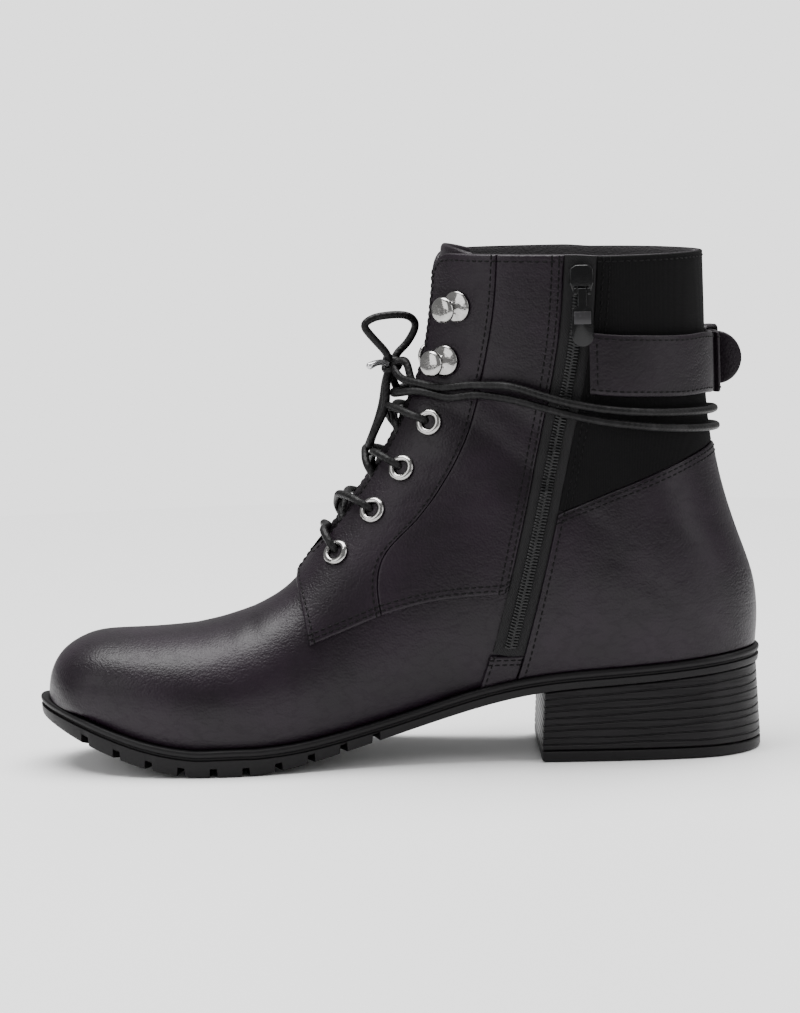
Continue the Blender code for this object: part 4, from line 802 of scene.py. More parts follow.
def collar_row(v):
    """Last row at a share: rounded at the throat, lower behind the zip."""
    v = np.asarray(v, float)
    v = np.where(np.abs(v) > 1, 2 - np.abs(v), np.abs(v))
    reach = v * girth(TOP_ROW, 1) - THROAT_HALF
    corner = 1 - np.clip(reach / COLLAR_CORNER, 0.0, 1.0)
    rounding = COLLAR_CORNER * (1 - np.sqrt(1 - corner * corner))
    drop = np.clip((v - 0.50) / 0.09, 0.0, 1.0)
    return TOP_ROW - (rounding + COLLAR_STEP * drop * drop * (3 - 2 * drop)) / TOP_ROW_PITCH


def wall_grid(rows, columns):
    """Rows and shares of the upper's grid, with the throat's strip in the middle."""
    v = np.empty((len(rows), 2 * columns + THROAT_COLUMNS + 1))
    u = np.empty_like(v)
    even = np.linspace(0, 1, columns + 1)
    even = 0.6 * even + 0.4 * (1 - np.cos(math.pi * even)) / 2
    for number, row in enumerate(rows):
        for side in (-1, 1):
            start = throat_reach(max(row, THROAT_END)) / girth(row, side)
            shares = side * (start + (1 - start) * even)
            if side < 0:
                v[number, :columns + 1] = shares[::-1]
            else:
                v[number, columns + THROAT_COLUMNS:] = shares
        edges = v[number, [columns, columns + THROAT_COLUMNS]]
        v[number, columns:columns + THROAT_COLUMNS + 1] = np.linspace(*edges, THROAT_COLUMNS + 1)
        u[number] = row
    high = u > HEEL_ROW
    u[high] = HEEL_ROW + (u[high] - HEEL_ROW) * (collar_row(v[high]) - HEEL_ROW) / (TOP_ROW - HEEL_ROW)
    return u, v


EDGE_STEPS = (0.0, 0.12, 0.36, 0.70, 1.0)
EDGE_ROLL = 0.00055
LINING_ROLL = 0.00045
LINING_GAP = 0.0002
BACKING = 0.0003
EDGE_ROWS = 0.30
collar_rows = [TOP_ROW - EDGE_ROWS * (1 - step) for step in EDGE_STEPS]
upper_rows = np.concatenate([np.linspace(0, THROAT_END, 120), np.linspace(THROAT_END, HEEL_ROW, 70)[1:],
                             np.linspace(HEEL_ROW, TOP_ROW - EDGE_ROWS, 60)[1:-1], collar_rows])
COLUMNS = 84
u, v = wall_grid(upper_rows, COLUMNS)
upper_grid, upper_normals = on_form(u, v)
upper_grid = upper_grid + upper_normals * creased(upper_grid)[..., None]
open_cells = np.ones((len(upper_rows) - 1, u.shape[1] - 1), bool)
open_cells[upper_rows[:-1] >= THROAT_END - 1e-6, COLUMNS:COLUMNS + THROAT_COLUMNS] = False
rounded = np.zeros(len(upper_rows))
rounded[-len(EDGE_STEPS):] = [1 - math.sqrt(max(1 - step * step, 0.0)) for step in EDGE_STEPS]
flat = np.zeros(u.shape)
upper = grid_solid("boot_upper", upper_grid, flat - LINING - BACKING, flat - EDGE_ROLL * rounded[:, None],
                   LEATHER, open_cells, upper_normals)
finish_piece(upper, "leather", "upper")
thin = slice(None, None, 2)
lining = grid_solid("boot_lining", upper_grid[thin], (flat - WALL + LINING_ROLL * rounded[:, None])[thin],
                    flat[thin] - LINING - BACKING - LINING_GAP, LINING_CLOTH,
                    open_cells[thin][:len(upper_grid[thin]) - 1], upper_normals[thin])
finish_piece(lining, "lining")


# Overlays
# Facings, quarters and heel counter are cut from the same leather and sewn onto the walls
# with folded edges. The gore behind the ankle is black elastic.
OVERLAY = 0.0014
GORE_THICKNESS = 0.0008
ZIP_WIDTH = 0.0120

# Seams seen from the side: along, rise
FACING_REAR = ((0.524, 0.264), (0.528, 0.345), (0.520, 0.397), (0.483, 0.453), (0.428, 0.550),
               (0.394, 0.661), (0.376, 0.784), (0.362, 0.915), (0.355, 1.062), (0.353, 1.14))
QUARTER_EDGE_MEDIAL = ((0.524, 0.264), (0.456, 0.259), (0.403, 0.241), (0.356, 0.225))
QUARTER_EDGE_LATERAL = ((0.524, 0.264), (0.457, 0.256), (0.414, 0.240), (0.352, 0.206),
                        (0.306, 0.169), (0.249, 0.114))
ZIP_LINE = ((0.353, 0.069), (0.312, 0.343), (0.279, 0.601), (0.252, 0.860), (0.245, 1.028))
COUNTER_EDGE_MEDIAL = ((0.275, 0.402), (0.200, 0.447), (0.126, 0.489), (0.067, 0.520))
COUNTER_EDGE_LATERAL = ((0.273, -0.04), (0.259, 0.053), (0.247, 0.170), (0.234, 0.267),
                        (0.202, 0.362), (0.122, 0.459), (0.067, 0.520))
GORE_FRONT_LATERAL = ((0.141, 0.441), (0.174, 0.611), (0.210, 0.825), (0.247, 1.017))


def seam_shares(table, side, shift=0.0, drop=0.0, count=70):
    """Rows and shares of the form along a seam seen from the side."""
    places = np.array([side_place(*row) for row in table])
    lengths = lengths_of(places)
    line = spline(lengths, places)(np.linspace(0, lengths[-1], count + 1))
    return np.array([locate(x + shift, z + drop, side) for x, z in line])


def to_collar(shares):
    """A seam cut off at the collar."""
    over = shares[:, 0] - collar_row(shares[:, 1])
    beyond = np.nonzero(over > -1e-4)[0]
    if not len(beyond):
        return np.concatenate([shares, [[collar_row(shares[-1, 1]), shares[-1, 1]]]])
    cut = max(beyond[0], 1)
    v = shares[cut - 1, 1]
    return np.concatenate([shares[:cut], [[collar_row(v), v]]])


def curve(shares):
    return sampled(form, shares[:, 0], shares[:, 1])


def collar_curve(start, end, count=60):
    v = np.linspace(start, end, count + 1)
    return sampled(form, collar_row(v), v)


def feather(turns, side):
    """Line where the upper meets the sole."""
    edge = sole_edge(turns, side, WELT_LEDGE)
    return np.stack([edge[:, 0], edge[:, 1], sole_heights(edge[:, 0])[1] + SEAT], axis=1)


def interpolated(table, lengths, at):
    """Rows of a table at lengths along it."""
    return np.stack([np.interp(at, lengths, column) for column in np.asarray(table).T], axis=-1)


def resampled(points, shares):
    lengths = lengths_of(points)
    return interpolated(points, lengths, shares * lengths[-1])


def edge_shares(length, pitch, bevel):
    """Shares of a length, close together at both ends where the edge is rounded."""
    near = np.array([0.0, 0.14, 0.42, 0.78, 1.15]) * bevel / length
    near = near * min(1.0, 0.40 / near[-1])
    inner = np.linspace(near[-1], 1 - near[-1], max(int(length / pitch), 3))
    return np.concatenate([near[:-1], inner, 1 - near[:-1][::-1]])


def on_last(grid):
    """Grid moved onto the form, with the form's normals."""
    flat = grid.reshape(-1, 3)
    places = np.empty_like(flat)
    normals = np.empty_like(flat)
    width = form.shape[1] - 1
    for number, point in enumerate(flat.tolist()):
        place, _, cell, _ = form_tree.find_nearest(point)
        row, column = divmod(cell, width)
        around = form[row:row + 2, column:column + 2].reshape(-1, 3)
        weight = 1 / (np.sum((around - np.array(place)) ** 2, axis=1) + 1e-8)
        normal = weight @ form_normals[row:row + 2, column:column + 2].reshape(-1, 3)
        places[number] = place
        normals[number] = normal / np.linalg.norm(normal)
    return places.reshape(grid.shape), normals.reshape(grid.shape)


class Patch:
    """Panel of leather or cloth between four edges on the last."""

    def __init__(self, name, bottom, top, left, right, lift, thickness, finish, bevel=0.0010, pitch=0.0015):
        bottom, top, left, right = (np.array(edge, float) for edge in (bottom, top, left, right))
        bottom[0], bottom[-1], top[0], top[-1] = left[0], right[0], left[-1], right[-1]
        across = edge_shares((lengths_of(bottom)[-1] + lengths_of(top)[-1]) / 2, pitch, bevel)
        up = edge_shares((lengths_of(left)[-1] + lengths_of(right)[-1]) / 2, pitch, bevel)
        s = across[None, :, None]
        t = up[:, None, None]
        grid = ((1 - t) * resampled(bottom, across)[None] + t * resampled(top, across)[None]
                + (1 - s) * resampled(left, up)[:, None] + s * resampled(right, up)[:, None]
                - (1 - s) * (1 - t) * left[0] - s * (1 - t) * right[0]
                - (1 - s) * t * left[-1] - s * t * right[-1])
        self.grid, self.normals = on_last(grid)
        self.grid = self.grid + self.normals * creased(self.grid)[..., None]
        row_steps = np.linalg.norm(np.diff(self.grid, axis=1), axis=2)
        column_steps = np.linalg.norm(np.diff(self.grid, axis=0), axis=2)
        self.rows = np.concatenate([np.zeros((len(up), 1)), np.cumsum(row_steps, axis=1)], axis=1)
        self.columns = np.concatenate([np.zeros((1, len(across))), np.cumsum(column_steps, axis=0)])
        inside = np.minimum(np.minimum(self.rows, self.rows[:, -1:] - self.rows),
                            np.minimum(self.columns, self.columns[-1:] - self.columns))
        near = 1 - np.clip(inside / bevel, 0.0, 1.0)
        self.high = lift + thickness * (0.40 + 0.60 * np.sqrt(1 - near * near))
        self.piece = grid_solid(name, self.grid, np.full(self.high.shape, lift - 0.0003), self.high, finish,
                                normals=self.normals)

    def line(self, edge, inset):
        """Points and normals on the face, a distance in from an edge."""
        turned = edge in ("top", "bottom")
        face = self.grid + self.normals * self.high[..., None]
        lengths = self.columns.T if turned else self.rows
        face = np.swapaxes(face, 0, 1) if turned else face
        normals = np.swapaxes(self.normals, 0, 1) if turned else self.normals
        points = []
        outs = []
        for row in range(len(face)):
            where = inset if edge in ("left", "bottom") else lengths[row, -1] - inset
            if lengths[row, -1] < 2 * inset:
                continue
            points.append(interpolated(face[row], lengths[row], where))
            outs.append(interpolated(normals[row], lengths[row], where))
        return np.array(points), np.array(outs)


zip_rear = to_collar(seam_shares(ZIP_LINE, -1, ZIP_WIDTH / 2))
zip_front = to_collar(seam_shares(ZIP_LINE, -1, -ZIP_WIDTH / 2))
zip_rear_line = curve(zip_rear)
zip_front_line = curve(zip_front)
corner_height = side_place(*COUNTER_EDGE_MEDIAL[0])[1]
NUDGE = 0.00015
FACING_FOOT = ((0.623, 0.234), (0.575, 0.250), (0.524, 0.264))
FACING_TAB = ((0.623, 0.234), (0.635, 0.359))

# Reach of the facing's front edge from the ridge, in metres, by row of the form
FACING_REACH = ((9.20, 0.0022), (9.45, 0.0009), (9.60, 0.0010), (9.67, 0.0028), (9.73, 0.0060),
                (9.95, 0.0072), (10.4, 0.0086), (11.0, 0.0094), (11.8, 0.0099), (12.8, 0.0100),
                (15.0, 0.0100), (18.0, 0.0100), (21.0, 0.0100), (22.99, 0.0100))
SIDES = (("medial", -1), ("lateral", 1))
stitch_lines = []


def sew(patch, node, **rows):
    """Seats a panel and sews it; rows gives each edge the distances of its rows of stitches."""
    finish_piece(patch.piece, "elastic" if node == "gore" else "leather", node)
    stitch_lines.extend(patch.line(edge, inset) for edge, insets in rows.items() for inset in insets)


rear_seams = {}
for name, side in SIDES:
    rear = to_collar(seam_shares(FACING_REAR, side, -NUDGE))
    rear_seams[side] = rear
    tab = [locate(*side_place(*np.array(FACING_TAB).T @ (1 - step, step)), side)
           for step in np.linspace(0, 1, 5)]
    throat = [(row, side * wide / girth(row, side)) for row, wide in FACING_REACH]
    facing = Patch("facing_" + name + "_leather", curve(seam_shares(FACING_FOOT, side)),
                   collar_curve(throat[-1][1], rear[-1, 1], 40), curve(np.array(tab + throat)), curve(rear),
                   SEAT, OVERLAY, LEATHER)
    sew(facing, "facing_" + name, right=(0.0018,), bottom=(0.0018, 0.0036), left=(0.0020,), top=(0.0024,))

# Quarters, from the facings' rear seams back to the zip and to the gore
QUARTER_THICKNESS = OVERLAY - 0.0002
start = side_place(*QUARTER_EDGE_MEDIAL[-1])[1]
quarter = Patch("quarter_medial_leather", curve(seam_shares(QUARTER_EDGE_MEDIAL, -1)),
                collar_curve(rear_seams[-1][-1, 1], zip_front[-1, 1]), curve(rear_seams[-1]),
                curve(zip_front[zip_front_line[:, 2] > start]), SEAT, QUARTER_THICKNESS, LEATHER)
sew(quarter, "quarter_medial", right=(0.0016, 0.0042), bottom=(0.0016, 0.0035), top=(0.0024,))

gore_front = to_collar(seam_shares(GORE_FRONT_LATERAL, 1))
counter_points = curve(seam_shares(COUNTER_EDGE_LATERAL, 1, 0.0, 0.0, 90))
gore_start = side_place(*GORE_FRONT_LATERAL[0])[1]
counter_heights = counter_points[:, 2]
between = (counter_heights > side_place(*QUARTER_EDGE_LATERAL[-1])[1]) & (counter_heights < gore_start)
lateral_rear = np.concatenate([counter_points[between], curve(gore_front)])
lateral = Patch("quarter_lateral_leather", curve(seam_shares(QUARTER_EDGE_LATERAL, 1)),
                collar_curve(rear_seams[1][-1, 1], gore_front[-1, 1]), curve(rear_seams[1]),
                lateral_rear, SEAT, QUARTER_THICKNESS, LEATHER)
sew(lateral, "quarter_lateral", right=(0.0017, 0.0036), bottom=(0.0016, 0.0035), top=(0.0024,))

# Counter round the heel, from the zip to the lateral quarter
COUNTER_FRONT = 0.0533
COUNTER_END = 0.2725
COUNTER_TURN = 34
medial_seam = curve(seam_shares(COUNTER_EDGE_MEDIAL, -1))
medial_base = feather(np.linspace(turn_of((HEEL_BACK + COUNTER_FRONT) / SOLE_LENGTH), 0.0, 60), -1)
lateral_base = feather(np.linspace(0.0, turn_of(COUNTER_END), 60)[1:], 1)
zip_low = zip_rear_line[zip_rear_line[:, 2] < corner_height]
lateral_seam = counter_points[::-1]
counter_end = np.concatenate([lateral_base[-1:], lateral_seam[COUNTER_TURN - 1:-6][::-1]])
counter = Patch("counter_leather", np.concatenate([medial_base, lateral_base]),
                np.concatenate([zip_low[-1:], medial_seam, lateral_seam[1:COUNTER_TURN]]),
                np.concatenate([medial_base[:1], zip_low]), counter_end, SEAT, OVERLAY, LEATHER)
sew(counter, "back_counter", top=(0.0016, 0.0035), right=(0.0016, 0.0035), left=(0.0026,))


def elastic_finish():
    """Black elastic web with fine upright ribs, its colour darker in the grooves and lighter on the ribs:
    painted shade and light, over a random fuzz of tone.
    """
    look = Finish("black_elastic", (0.003, 0.003, 0.0032), 0.92, Specular_IOR_Level=0.12)
    x, y, z = look.axes(look.place)
    ribs = abs(look.wave(x - y * 0.8, 0.0018))
    picks = abs(look.wave(z, 0.0012))
    fuzz = look.noise(0.0006)
    # Colour follows the ribs' height: painted shade in the grooves and painted light on the ribs, plus random
    # fuzz
    look.colour(ribs * 0.5 + fuzz * 0.5, (0.0020, 0.0019, 0.0021), (0.0042, 0.0040, 0.0043))
    (0.84 + fuzz * 0.14).into(look.shader, "Roughness")
    look.relief(ribs * 0.6 + picks * 0.4, 0.00012, 0.6)
    return look.material


zip_high = zip_rear[zip_rear_line[:, 2] > corner_height]
gore_end = np.argmin(np.abs(lateral_seam[:, 2] - gore_start)) + 1
drop = np.array((0.0, 0.0, SEAT))
gore_bottom = np.concatenate([curve(zip_high)[:1], medial_seam + drop, lateral_seam[1:gore_end] + drop])
gore_top = collar_curve(zip_high[-1, 1], gore_front[-1, 1] - 2)
gore = Patch("gore_elastic", gore_bottom, gore_top, curve(zip_high), curve(gore_front), SEAT, GORE_THICKNESS,
             elastic_finish(), bevel=0.0005)
sew(gore, "gore", left=(0.0022, 0.0046), top=(0.0020,))


# Stitches
# Black waxed thread, about ten stitches to the inch, in single and double rows along the
# folded edges.
STITCH_PITCH = 0.0026
STITCH_LENGTH = 0.0019
THREAD_RADIUS = 0.00031

# A stitch from end to end: share of its length, width and rise as shares of the radius
STITCH = ((-0.50, 0.30, -0.5), (-0.40, 0.85, 0.1), (0.0, 1.0, 0.45), (0.40, 0.85, 0.1), (0.50, 0.30, -0.5))
thread = Finish("black_thread", (0.0016, 0.0014, 0.0016), 0.60, Specular_IOR_Level=0.12)
ply = thread.noise(0.0004)
thread.colour(ply, (0.0008, 0.0007, 0.0008), (0.0030, 0.0026, 0.0030))
thread.relief(ply, 0.00008)


def stitches(name, lines):
    """Rows of small raised stitches in one mesh."""
    ring = [(math.cos(math.pi * step / 3), math.sin(math.pi * step / 3) * 0.8) for step in range(6)]
    points = []
    faces = []
    for places, outs in lines:
        if len(places) < 2:
            continue
        lengths = lengths_of(places)
        count = int(lengths[-1] / STITCH_PITCH)
        for middle in (np.arange(count) + 0.5) * lengths[-1] / count:
            behind, spot, ahead = interpolated(places, lengths, middle + np.array((-0.0005, 0.0, 0.0005)))
            out = interpolated(outs, lengths, middle)
            out /= np.linalg.norm(out)
            way = ahead - behind
            way /= max(np.linalg.norm(way), 1e-9)
            beside = np.cross(way, out)
            first = len(points)
            for share, wide, rise in STITCH:
                centre = spot + way * share * STITCH_LENGTH + out * rise * THREAD_RADIUS * 0.5
                points += [centre + (beside * y + out * z) * THREAD_RADIUS * wide for y, z in ring]
            faces += band_faces(len(STITCH), 6, first)
            faces += [tuple(range(first, first + 6))[::-1], tuple(range(first + 24, first + 30))]
    made = add_mesh(name, points, faces, thread.material, crease=80.0)
    finish_piece(made, "cord")


stitches("upper_stitches", stitch_lines)


# Tongue
# Padded leather tongue under the laces, a little wider than the throat, with a rolled top.
TONGUE_HALF = 0.0260
TONGUE_DEPTH = 0.0031
TONGUE_THICKNESS = 0.0026
TONGUE_RISE = 0.0030
TONGUE_START = 8.6
TONGUE_TOP = 24.7
PADDING = 0.0004
PAD_PITCH = 1.6
tongue_rows = np.concatenate([np.linspace(TONGUE_START, TONGUE_TOP, 80), [24.8, 24.9, 24.97, 25.0]])
across = np.linspace(-1, 1, 49)
narrow = np.interp(tongue_rows, (TONGUE_START, 9.2), (0.72, 1.0))
tongue_v = np.array([[TONGUE_HALF * part * share / girth(row, share) for share in across]
                     for row, part in zip(tongue_rows, narrow)])
tongue_grid, tongue_normals = on_form(np.repeat(tongue_rows[:, None], len(across), axis=1), tongue_v)
arch = 1 - across ** 2
tongue_grid[..., 2] += TONGUE_RISE * np.clip(tongue_rows - 24.0, 0.0, 1.0)[:, None] * arch
padding = PADDING * np.sin(np.clip((tongue_rows - 9) / PAD_PITCH, 0, 9.6) * math.pi)[:, None] * arch
round_side = np.sqrt(np.clip(1 - ((np.abs(across) - 0.93) / 0.07).clip(0) ** 2, 0, 1))
round_top = np.sqrt(np.clip(1 - ((tongue_rows - TONGUE_TOP) / 0.3).clip(0) ** 2, 0, 1))
half_thick = TONGUE_THICKNESS / 2 * np.clip(round_side * round_top[:, None], 0.12, 1)
tongue_middle = -TONGUE_DEPTH - TONGUE_THICKNESS / 2
tongue = grid_solid("tongue_leather", tongue_grid, tongue_middle - half_thick,
                    tongue_middle + half_thick + padding, LEATHER, normals=tongue_normals)
finish_piece(tongue, "leather", "tongue")


# Outsole
# Moulded rubber with a rolled lip under the upper, a groove round its side and square lugs
# across the forepart.
CHANNEL_PITCH = 0.0120
CHANNEL_WIDTH = 0.0024
CHANNEL_DEPTH = 0.0030
CHANNEL_SHARES = (0.535, 0.972)
HEEL_BREAST = 0.0445


def rubber_finish(name, colour, roughness, streaks=0.0):
    """Matt black rubber with mould haze and scuffs; streaks run round a stacked heel."""
    look = Finish(name, colour, roughness, Specular_IOR_Level=0.18)
    haze = look.noise(0.010, 4.0)
    scuff = look.noise(0.0022, 4.0, (0.25, 1.0, 2.5)).step(0.60, 0.74)
    layers = look.noise(0.0011, 3.0, (0.06, 0.06, 1.0)).step(0.35, 0.65) * streaks
    look.colour(haze * 0.6 + scuff * 0.5 + layers, np.multiply(colour, 0.7), np.multiply(colour, 1.8))
    (roughness - 0.10 + haze * 0.16 + scuff * 0.10).into(look.shader, "Roughness")
    look.relief(look.noise(0.0012, 3.0) * 0.5 + scuff * 0.2 + layers, 0.00012, 0.8)
    return look.material


def turn_at(x):
    return float(turn_of((HEEL_BACK - x) / SOLE_LENGTH))


RUBBER = rubber_finish("black_rubber", (0.0045, 0.0040, 0.0045), 0.50)
CHANNEL_CLEAR = 0.0018
WALL_STEP = 0.0003
channels = np.arange(sole_x(CHANNEL_SHARES[0]), sole_x(CHANNEL_SHARES[1]), -CHANNEL_PITCH)
walls = {turn_at(x + side * (CHANNEL_WIDTH / 2 + step)): not step
         for x in channels for side in (1, -1) for step in (0.0, WALL_STEP)}
spans = [(turn_at(x + CHANNEL_CLEAR), turn_at(x - CHANNEL_CLEAR)) for x in channels]
marks = {turn: False for turn in np.linspace(0, 1, 150)
         if turn in (0, 1) or not any(near < turn < far for near, far in spans)} | walls
sole_turns = np.array(sorted(marks))
in_channel = np.array([marks[turn] for turn in sole_turns])


def stacked(name, rings, finish, pairs, crease=40.0):
    """Closed piece of rings laid on each other; pairs gives its caps' strips from side to side."""
    size = len(rings[0])
    faces = band_faces(len(rings), size)
    top = (len(rings) - 1) * size
    for near, far in zip(pairs[:-1], pairs[1:]):
        strip = list(dict.fromkeys((near[0], far[0], far[1], near[1])))
        faces += [tuple(reversed(strip)), tuple(corner + top for corner in strip)]
    return add_mesh(name, np.concatenate(rings), faces, finish, crease=crease)


def sole_ring(inset, share, rise, turns=sole_turns, cut=in_channel):
    """Ring along the outline; its height is a share from tread to top, plus a rise."""
    plan = np.concatenate([sole_edge(turns, -1, inset), sole_edge(turns[1:-1], 1, inset)[::-1]])
    lifted = np.concatenate([cut, cut[1:-1][::-1]]) * CHANNEL_DEPTH
    bottom, top = sole_heights(plan[:, 0])
    height = bottom + lifted * (1 - share) + (top - bottom) * share + rise
    return np.concatenate([plan, height[:, None]], axis=1)


def ring_pairs(count):
    return [(step, (2 * count - 2 - step) % (2 * count - 2)) for step in range(count)]


# Rings of the outsole from the tread up: inset, from the tread (0) or the top (1), rise
OUTSOLE_RINGS = ((0.0125, 0, 0.0), (0.0030, 0, 0.0), (0.0012, 0, 0.0), (0.0007, 0, 0.0002),
                 (0.0005, 0, 0.0006), (0.0002, 1, -0.0038), (0.0006, 1, -0.0036), (0.0012, 1, -0.0034),
                 (0.0012, 1, -0.0029), (0.0007, 1, -0.0026), (0.0003, 1, -0.0023), (0.0001, 1, -0.0018),
                 (0.0, 1, -0.0012), (0.0002, 1, -0.0006), (0.0006, 1, -0.0002), (0.0012, 1, 0.0),
                 (0.0025, 1, 0.0), (0.0070, 1, 0.0))
MIDDLE_INSET = 0.0140
solid_middle = sole_ring(MIDDLE_INSET, 0, 0.0, cut=np.zeros(len(sole_turns), bool))
outsole = stacked("rubber_outsole", [solid_middle] + [sole_ring(*row) for row in OUTSOLE_RINGS], RUBBER,
                  ring_pairs(len(sole_turns)))
finish_piece(outsole, "rubber", "outsole")


# Insole
# Flat sock of black textile over foam, glued down inside the upper.
INSOLE_THICKNESS = 0.0030
INSOLE_PLAY = 0.0012
INSOLE_RINGS = ((0.0004, 0.0), (0.0, 0.0004), (0.0, 0.0024), (0.0005, INSOLE_THICKNESS),
                (0.0060, INSOLE_THICKNESS))
inner = WELT_LEDGE + WALL + INSOLE_PLAY
insole_turns = np.linspace(0, 1, 90)
insole_rings = [sole_ring(inner + inset, 1, 2 * SEAT + rise, insole_turns, np.zeros(90, bool))
                for inset, rise in INSOLE_RINGS]
insole = stacked("boot_insole", insole_rings, LINING_CLOTH, ring_pairs(90))
finish_piece(insole, "lining", "insole")


# Heel
# Stacked heel of moulded rubber, its side marked with fine uneven layers, on a plain top lift.
TOP_LIFT_THICKNESS = 0.0040
HEEL_TAPER = 0.0013
HEEL_CORNER = 0.0010
LAYER_GROOVES = (0.10, 0.21, 0.33, 0.43, 0.55, 0.66, 0.76, 0.88)
GROOVE_DEPTH = 0.00038
GROOVE_WAVE = 0.0003
HEEL_RUBBER = rubber_finish("heel_rubber", (0.0045, 0.0040, 0.0045), 0.44, 0.45)
heel_turns = np.linspace(turn_at(-HEEL_BREAST), 0, 70)


def heel_ring(inset, share, rise, wave=0.0):
    """Ring of the heel; its height is a share from the top lift to the sole, plus a rise."""
    ring = np.concatenate([sole_edge(heel_turns, -1, inset), sole_edge(heel_turns[:-1], 1, inset)[::-1]])
    ring[[0, -1]] += ((inset, HEEL_CORNER), (inset, -HEEL_CORNER))
    ring[[1, -2], 0] = ring[[0, -1], 0] + 0.35 * HEEL_CORNER
    foot = TOP_LIFT_THICKNESS + SEAT
    bottom = sole_heights(ring[:, 0])[0] - SEAT
    ripple = wave * np.sin(np.arange(len(ring)) * 0.19 + share * 40) * np.sin(np.arange(len(ring)) * 0.07)
    return np.concatenate([ring, (foot + share * (bottom - foot) + rise + ripple)[:, None]], axis=1)


heel_pairs = [(step, 2 * len(heel_turns) - 2 - step) for step in range(len(heel_turns))]
heel_rings = [heel_ring(0.0006, 0, 0.0), heel_ring(0.0, 0, 0.0005)]
groove = ((0.0, -0.00045), (GROOVE_DEPTH, -0.0001), (GROOVE_DEPTH, 0.0001), (0.0, 0.00045))
heel_rings += [heel_ring(HEEL_TAPER * share + deep, share, rise, GROOVE_WAVE)
               for share in LAYER_GROOVES for deep, rise in groove]
heel_rings += [heel_ring(HEEL_TAPER, 1, -0.0004), heel_ring(HEEL_TAPER + 0.0003, 1, 0.0)]
heel = stacked("stacked_heel", heel_rings, HEEL_RUBBER, heel_pairs, 30.0)
finish_piece(heel, "rubber", "heel")


def lift_ring(inset, height):
    ring = heel_ring(inset, 0, 0.0)
    ring[:, 2] = height
    return ring


LIFT_RINGS = ((0.0008, 0.0), (0.0002, 0.0004), (0.0, 0.0009), (0.0, TOP_LIFT_THICKNESS - 0.0004),
              (0.0004, TOP_LIFT_THICKNESS))
top_lift = stacked("heel_top_lift", [lift_ring(*row) for row in LIFT_RINGS], RUBBER, heel_pairs)
finish_piece(top_lift, "rubber", "top_lift")


# Zip
# Black woven tape with a moulded chain down its middle, closed to the top. Below it a short
# leather tab covers the tape's end and meets the sole.
TAPE_LIFT = 0.00045
TAPE_THICKNESS = 0.0007
CHAIN_LIFT = 0.0016
CHAIN_HALF = 0.0023
CHAIN_THICKNESS = 0.0011
TOOTH_PITCH = 0.00115


def woven_finish(name, colour):
    """Fine twill tape, its colour lighter on the twill's ridges and darker in its hollows: painted light and
    shade, over a random fuzz of tone.
    """
    look = Finish(name, colour, 0.80, Specular_IOR_Level=0.3)
    along, across, _ = look.axes(look.port.node("ShaderNodeUVMap", {"uv_map": "UVMap"}, {}))
    twill = look.wave(along + across, 0.0010) * 0.5 + 0.5
    threads = look.wave(across, 0.0005) * 0.5 + 0.5
    fuzz = look.noise(0.0008)
    # Colour follows the twill's height: painted light on its ridges and painted shade in its hollows, plus
    # random fuzz
    look.colour(twill * 0.5 + fuzz * 0.5, np.multiply(colour, 0.6), np.multiply(colour, 1.5))
    (0.72 + fuzz * 0.16).into(look.shader, "Roughness")
    look.relief(twill * 0.6 + threads * 0.4, 0.00016, 0.8)
    return look.material


nylon = Finish("chain_nylon", (0.0035, 0.0035, 0.0038), 0.24, Specular_IOR_Level=0.32)
chain_wear = nylon.noise(0.0015, 3.0)
nylon.colour(chain_wear.step(0.45, 0.8), (0.0020, 0.0020, 0.0023), (0.0080, 0.0080, 0.0085))
(0.26 + chain_wear * 0.20).into(nylon.shader, "Roughness")

zip_shares = to_collar(seam_shares(ZIP_LINE, -1, 0.0, 0.0, 150))
zip_middle = curve(zip_shares)
zip_lengths = lengths_of(zip_middle)
zip_out = sampled(form_normals, zip_shares[:, 0], zip_shares[:, 1])
zip_out /= np.linalg.norm(zip_out, axis=1)[:, None]
zip_way = np.gradient(zip_middle, axis=0)
zip_way /= np.linalg.norm(zip_way, axis=1)[:, None]
zip_across = np.cross(zip_way, zip_out)
if zip_across[0, 0] < 0:
    zip_across = -zip_across


def zip_place(length, across, lift):
    """Point on the zip: how far up it, how far rearwards and how far off the upper."""
    middle, way, out = (interpolated(table, zip_lengths, length)
                        for table in (zip_middle, zip_across, zip_out))
    return middle + way * across + out * lift


tape_shares = np.linspace(-1, 1, 13)
tape_across = tape_shares * (ZIP_WIDTH / 2 - SEAT)
tape_grid = np.array([[zip_place(length, across, 0.0) for across in tape_across] for length in zip_lengths])
tape_grid, tape_normals = on_last(tape_grid)
tape_top = np.where(np.abs(tape_shares) > 0.99, 0.5, 1.0) * TAPE_THICKNESS + TAPE_LIFT
twill = woven_finish("zip_tape_twill", (0.0045, 0.0042, 0.0047))
tape = grid_solid("zip_tape_web", tape_grid, TAPE_LIFT, tape_top, twill, normals=tape_normals)
tape_uvs = np.stack(np.meshgrid(zip_lengths, tape_across, indexing="ij"), axis=-1).reshape(-1, 2)
lay_uvs(tape.data, np.concatenate([tape_uvs, tape_uvs]))
finish_piece(tape, "tape", "zip_tape")

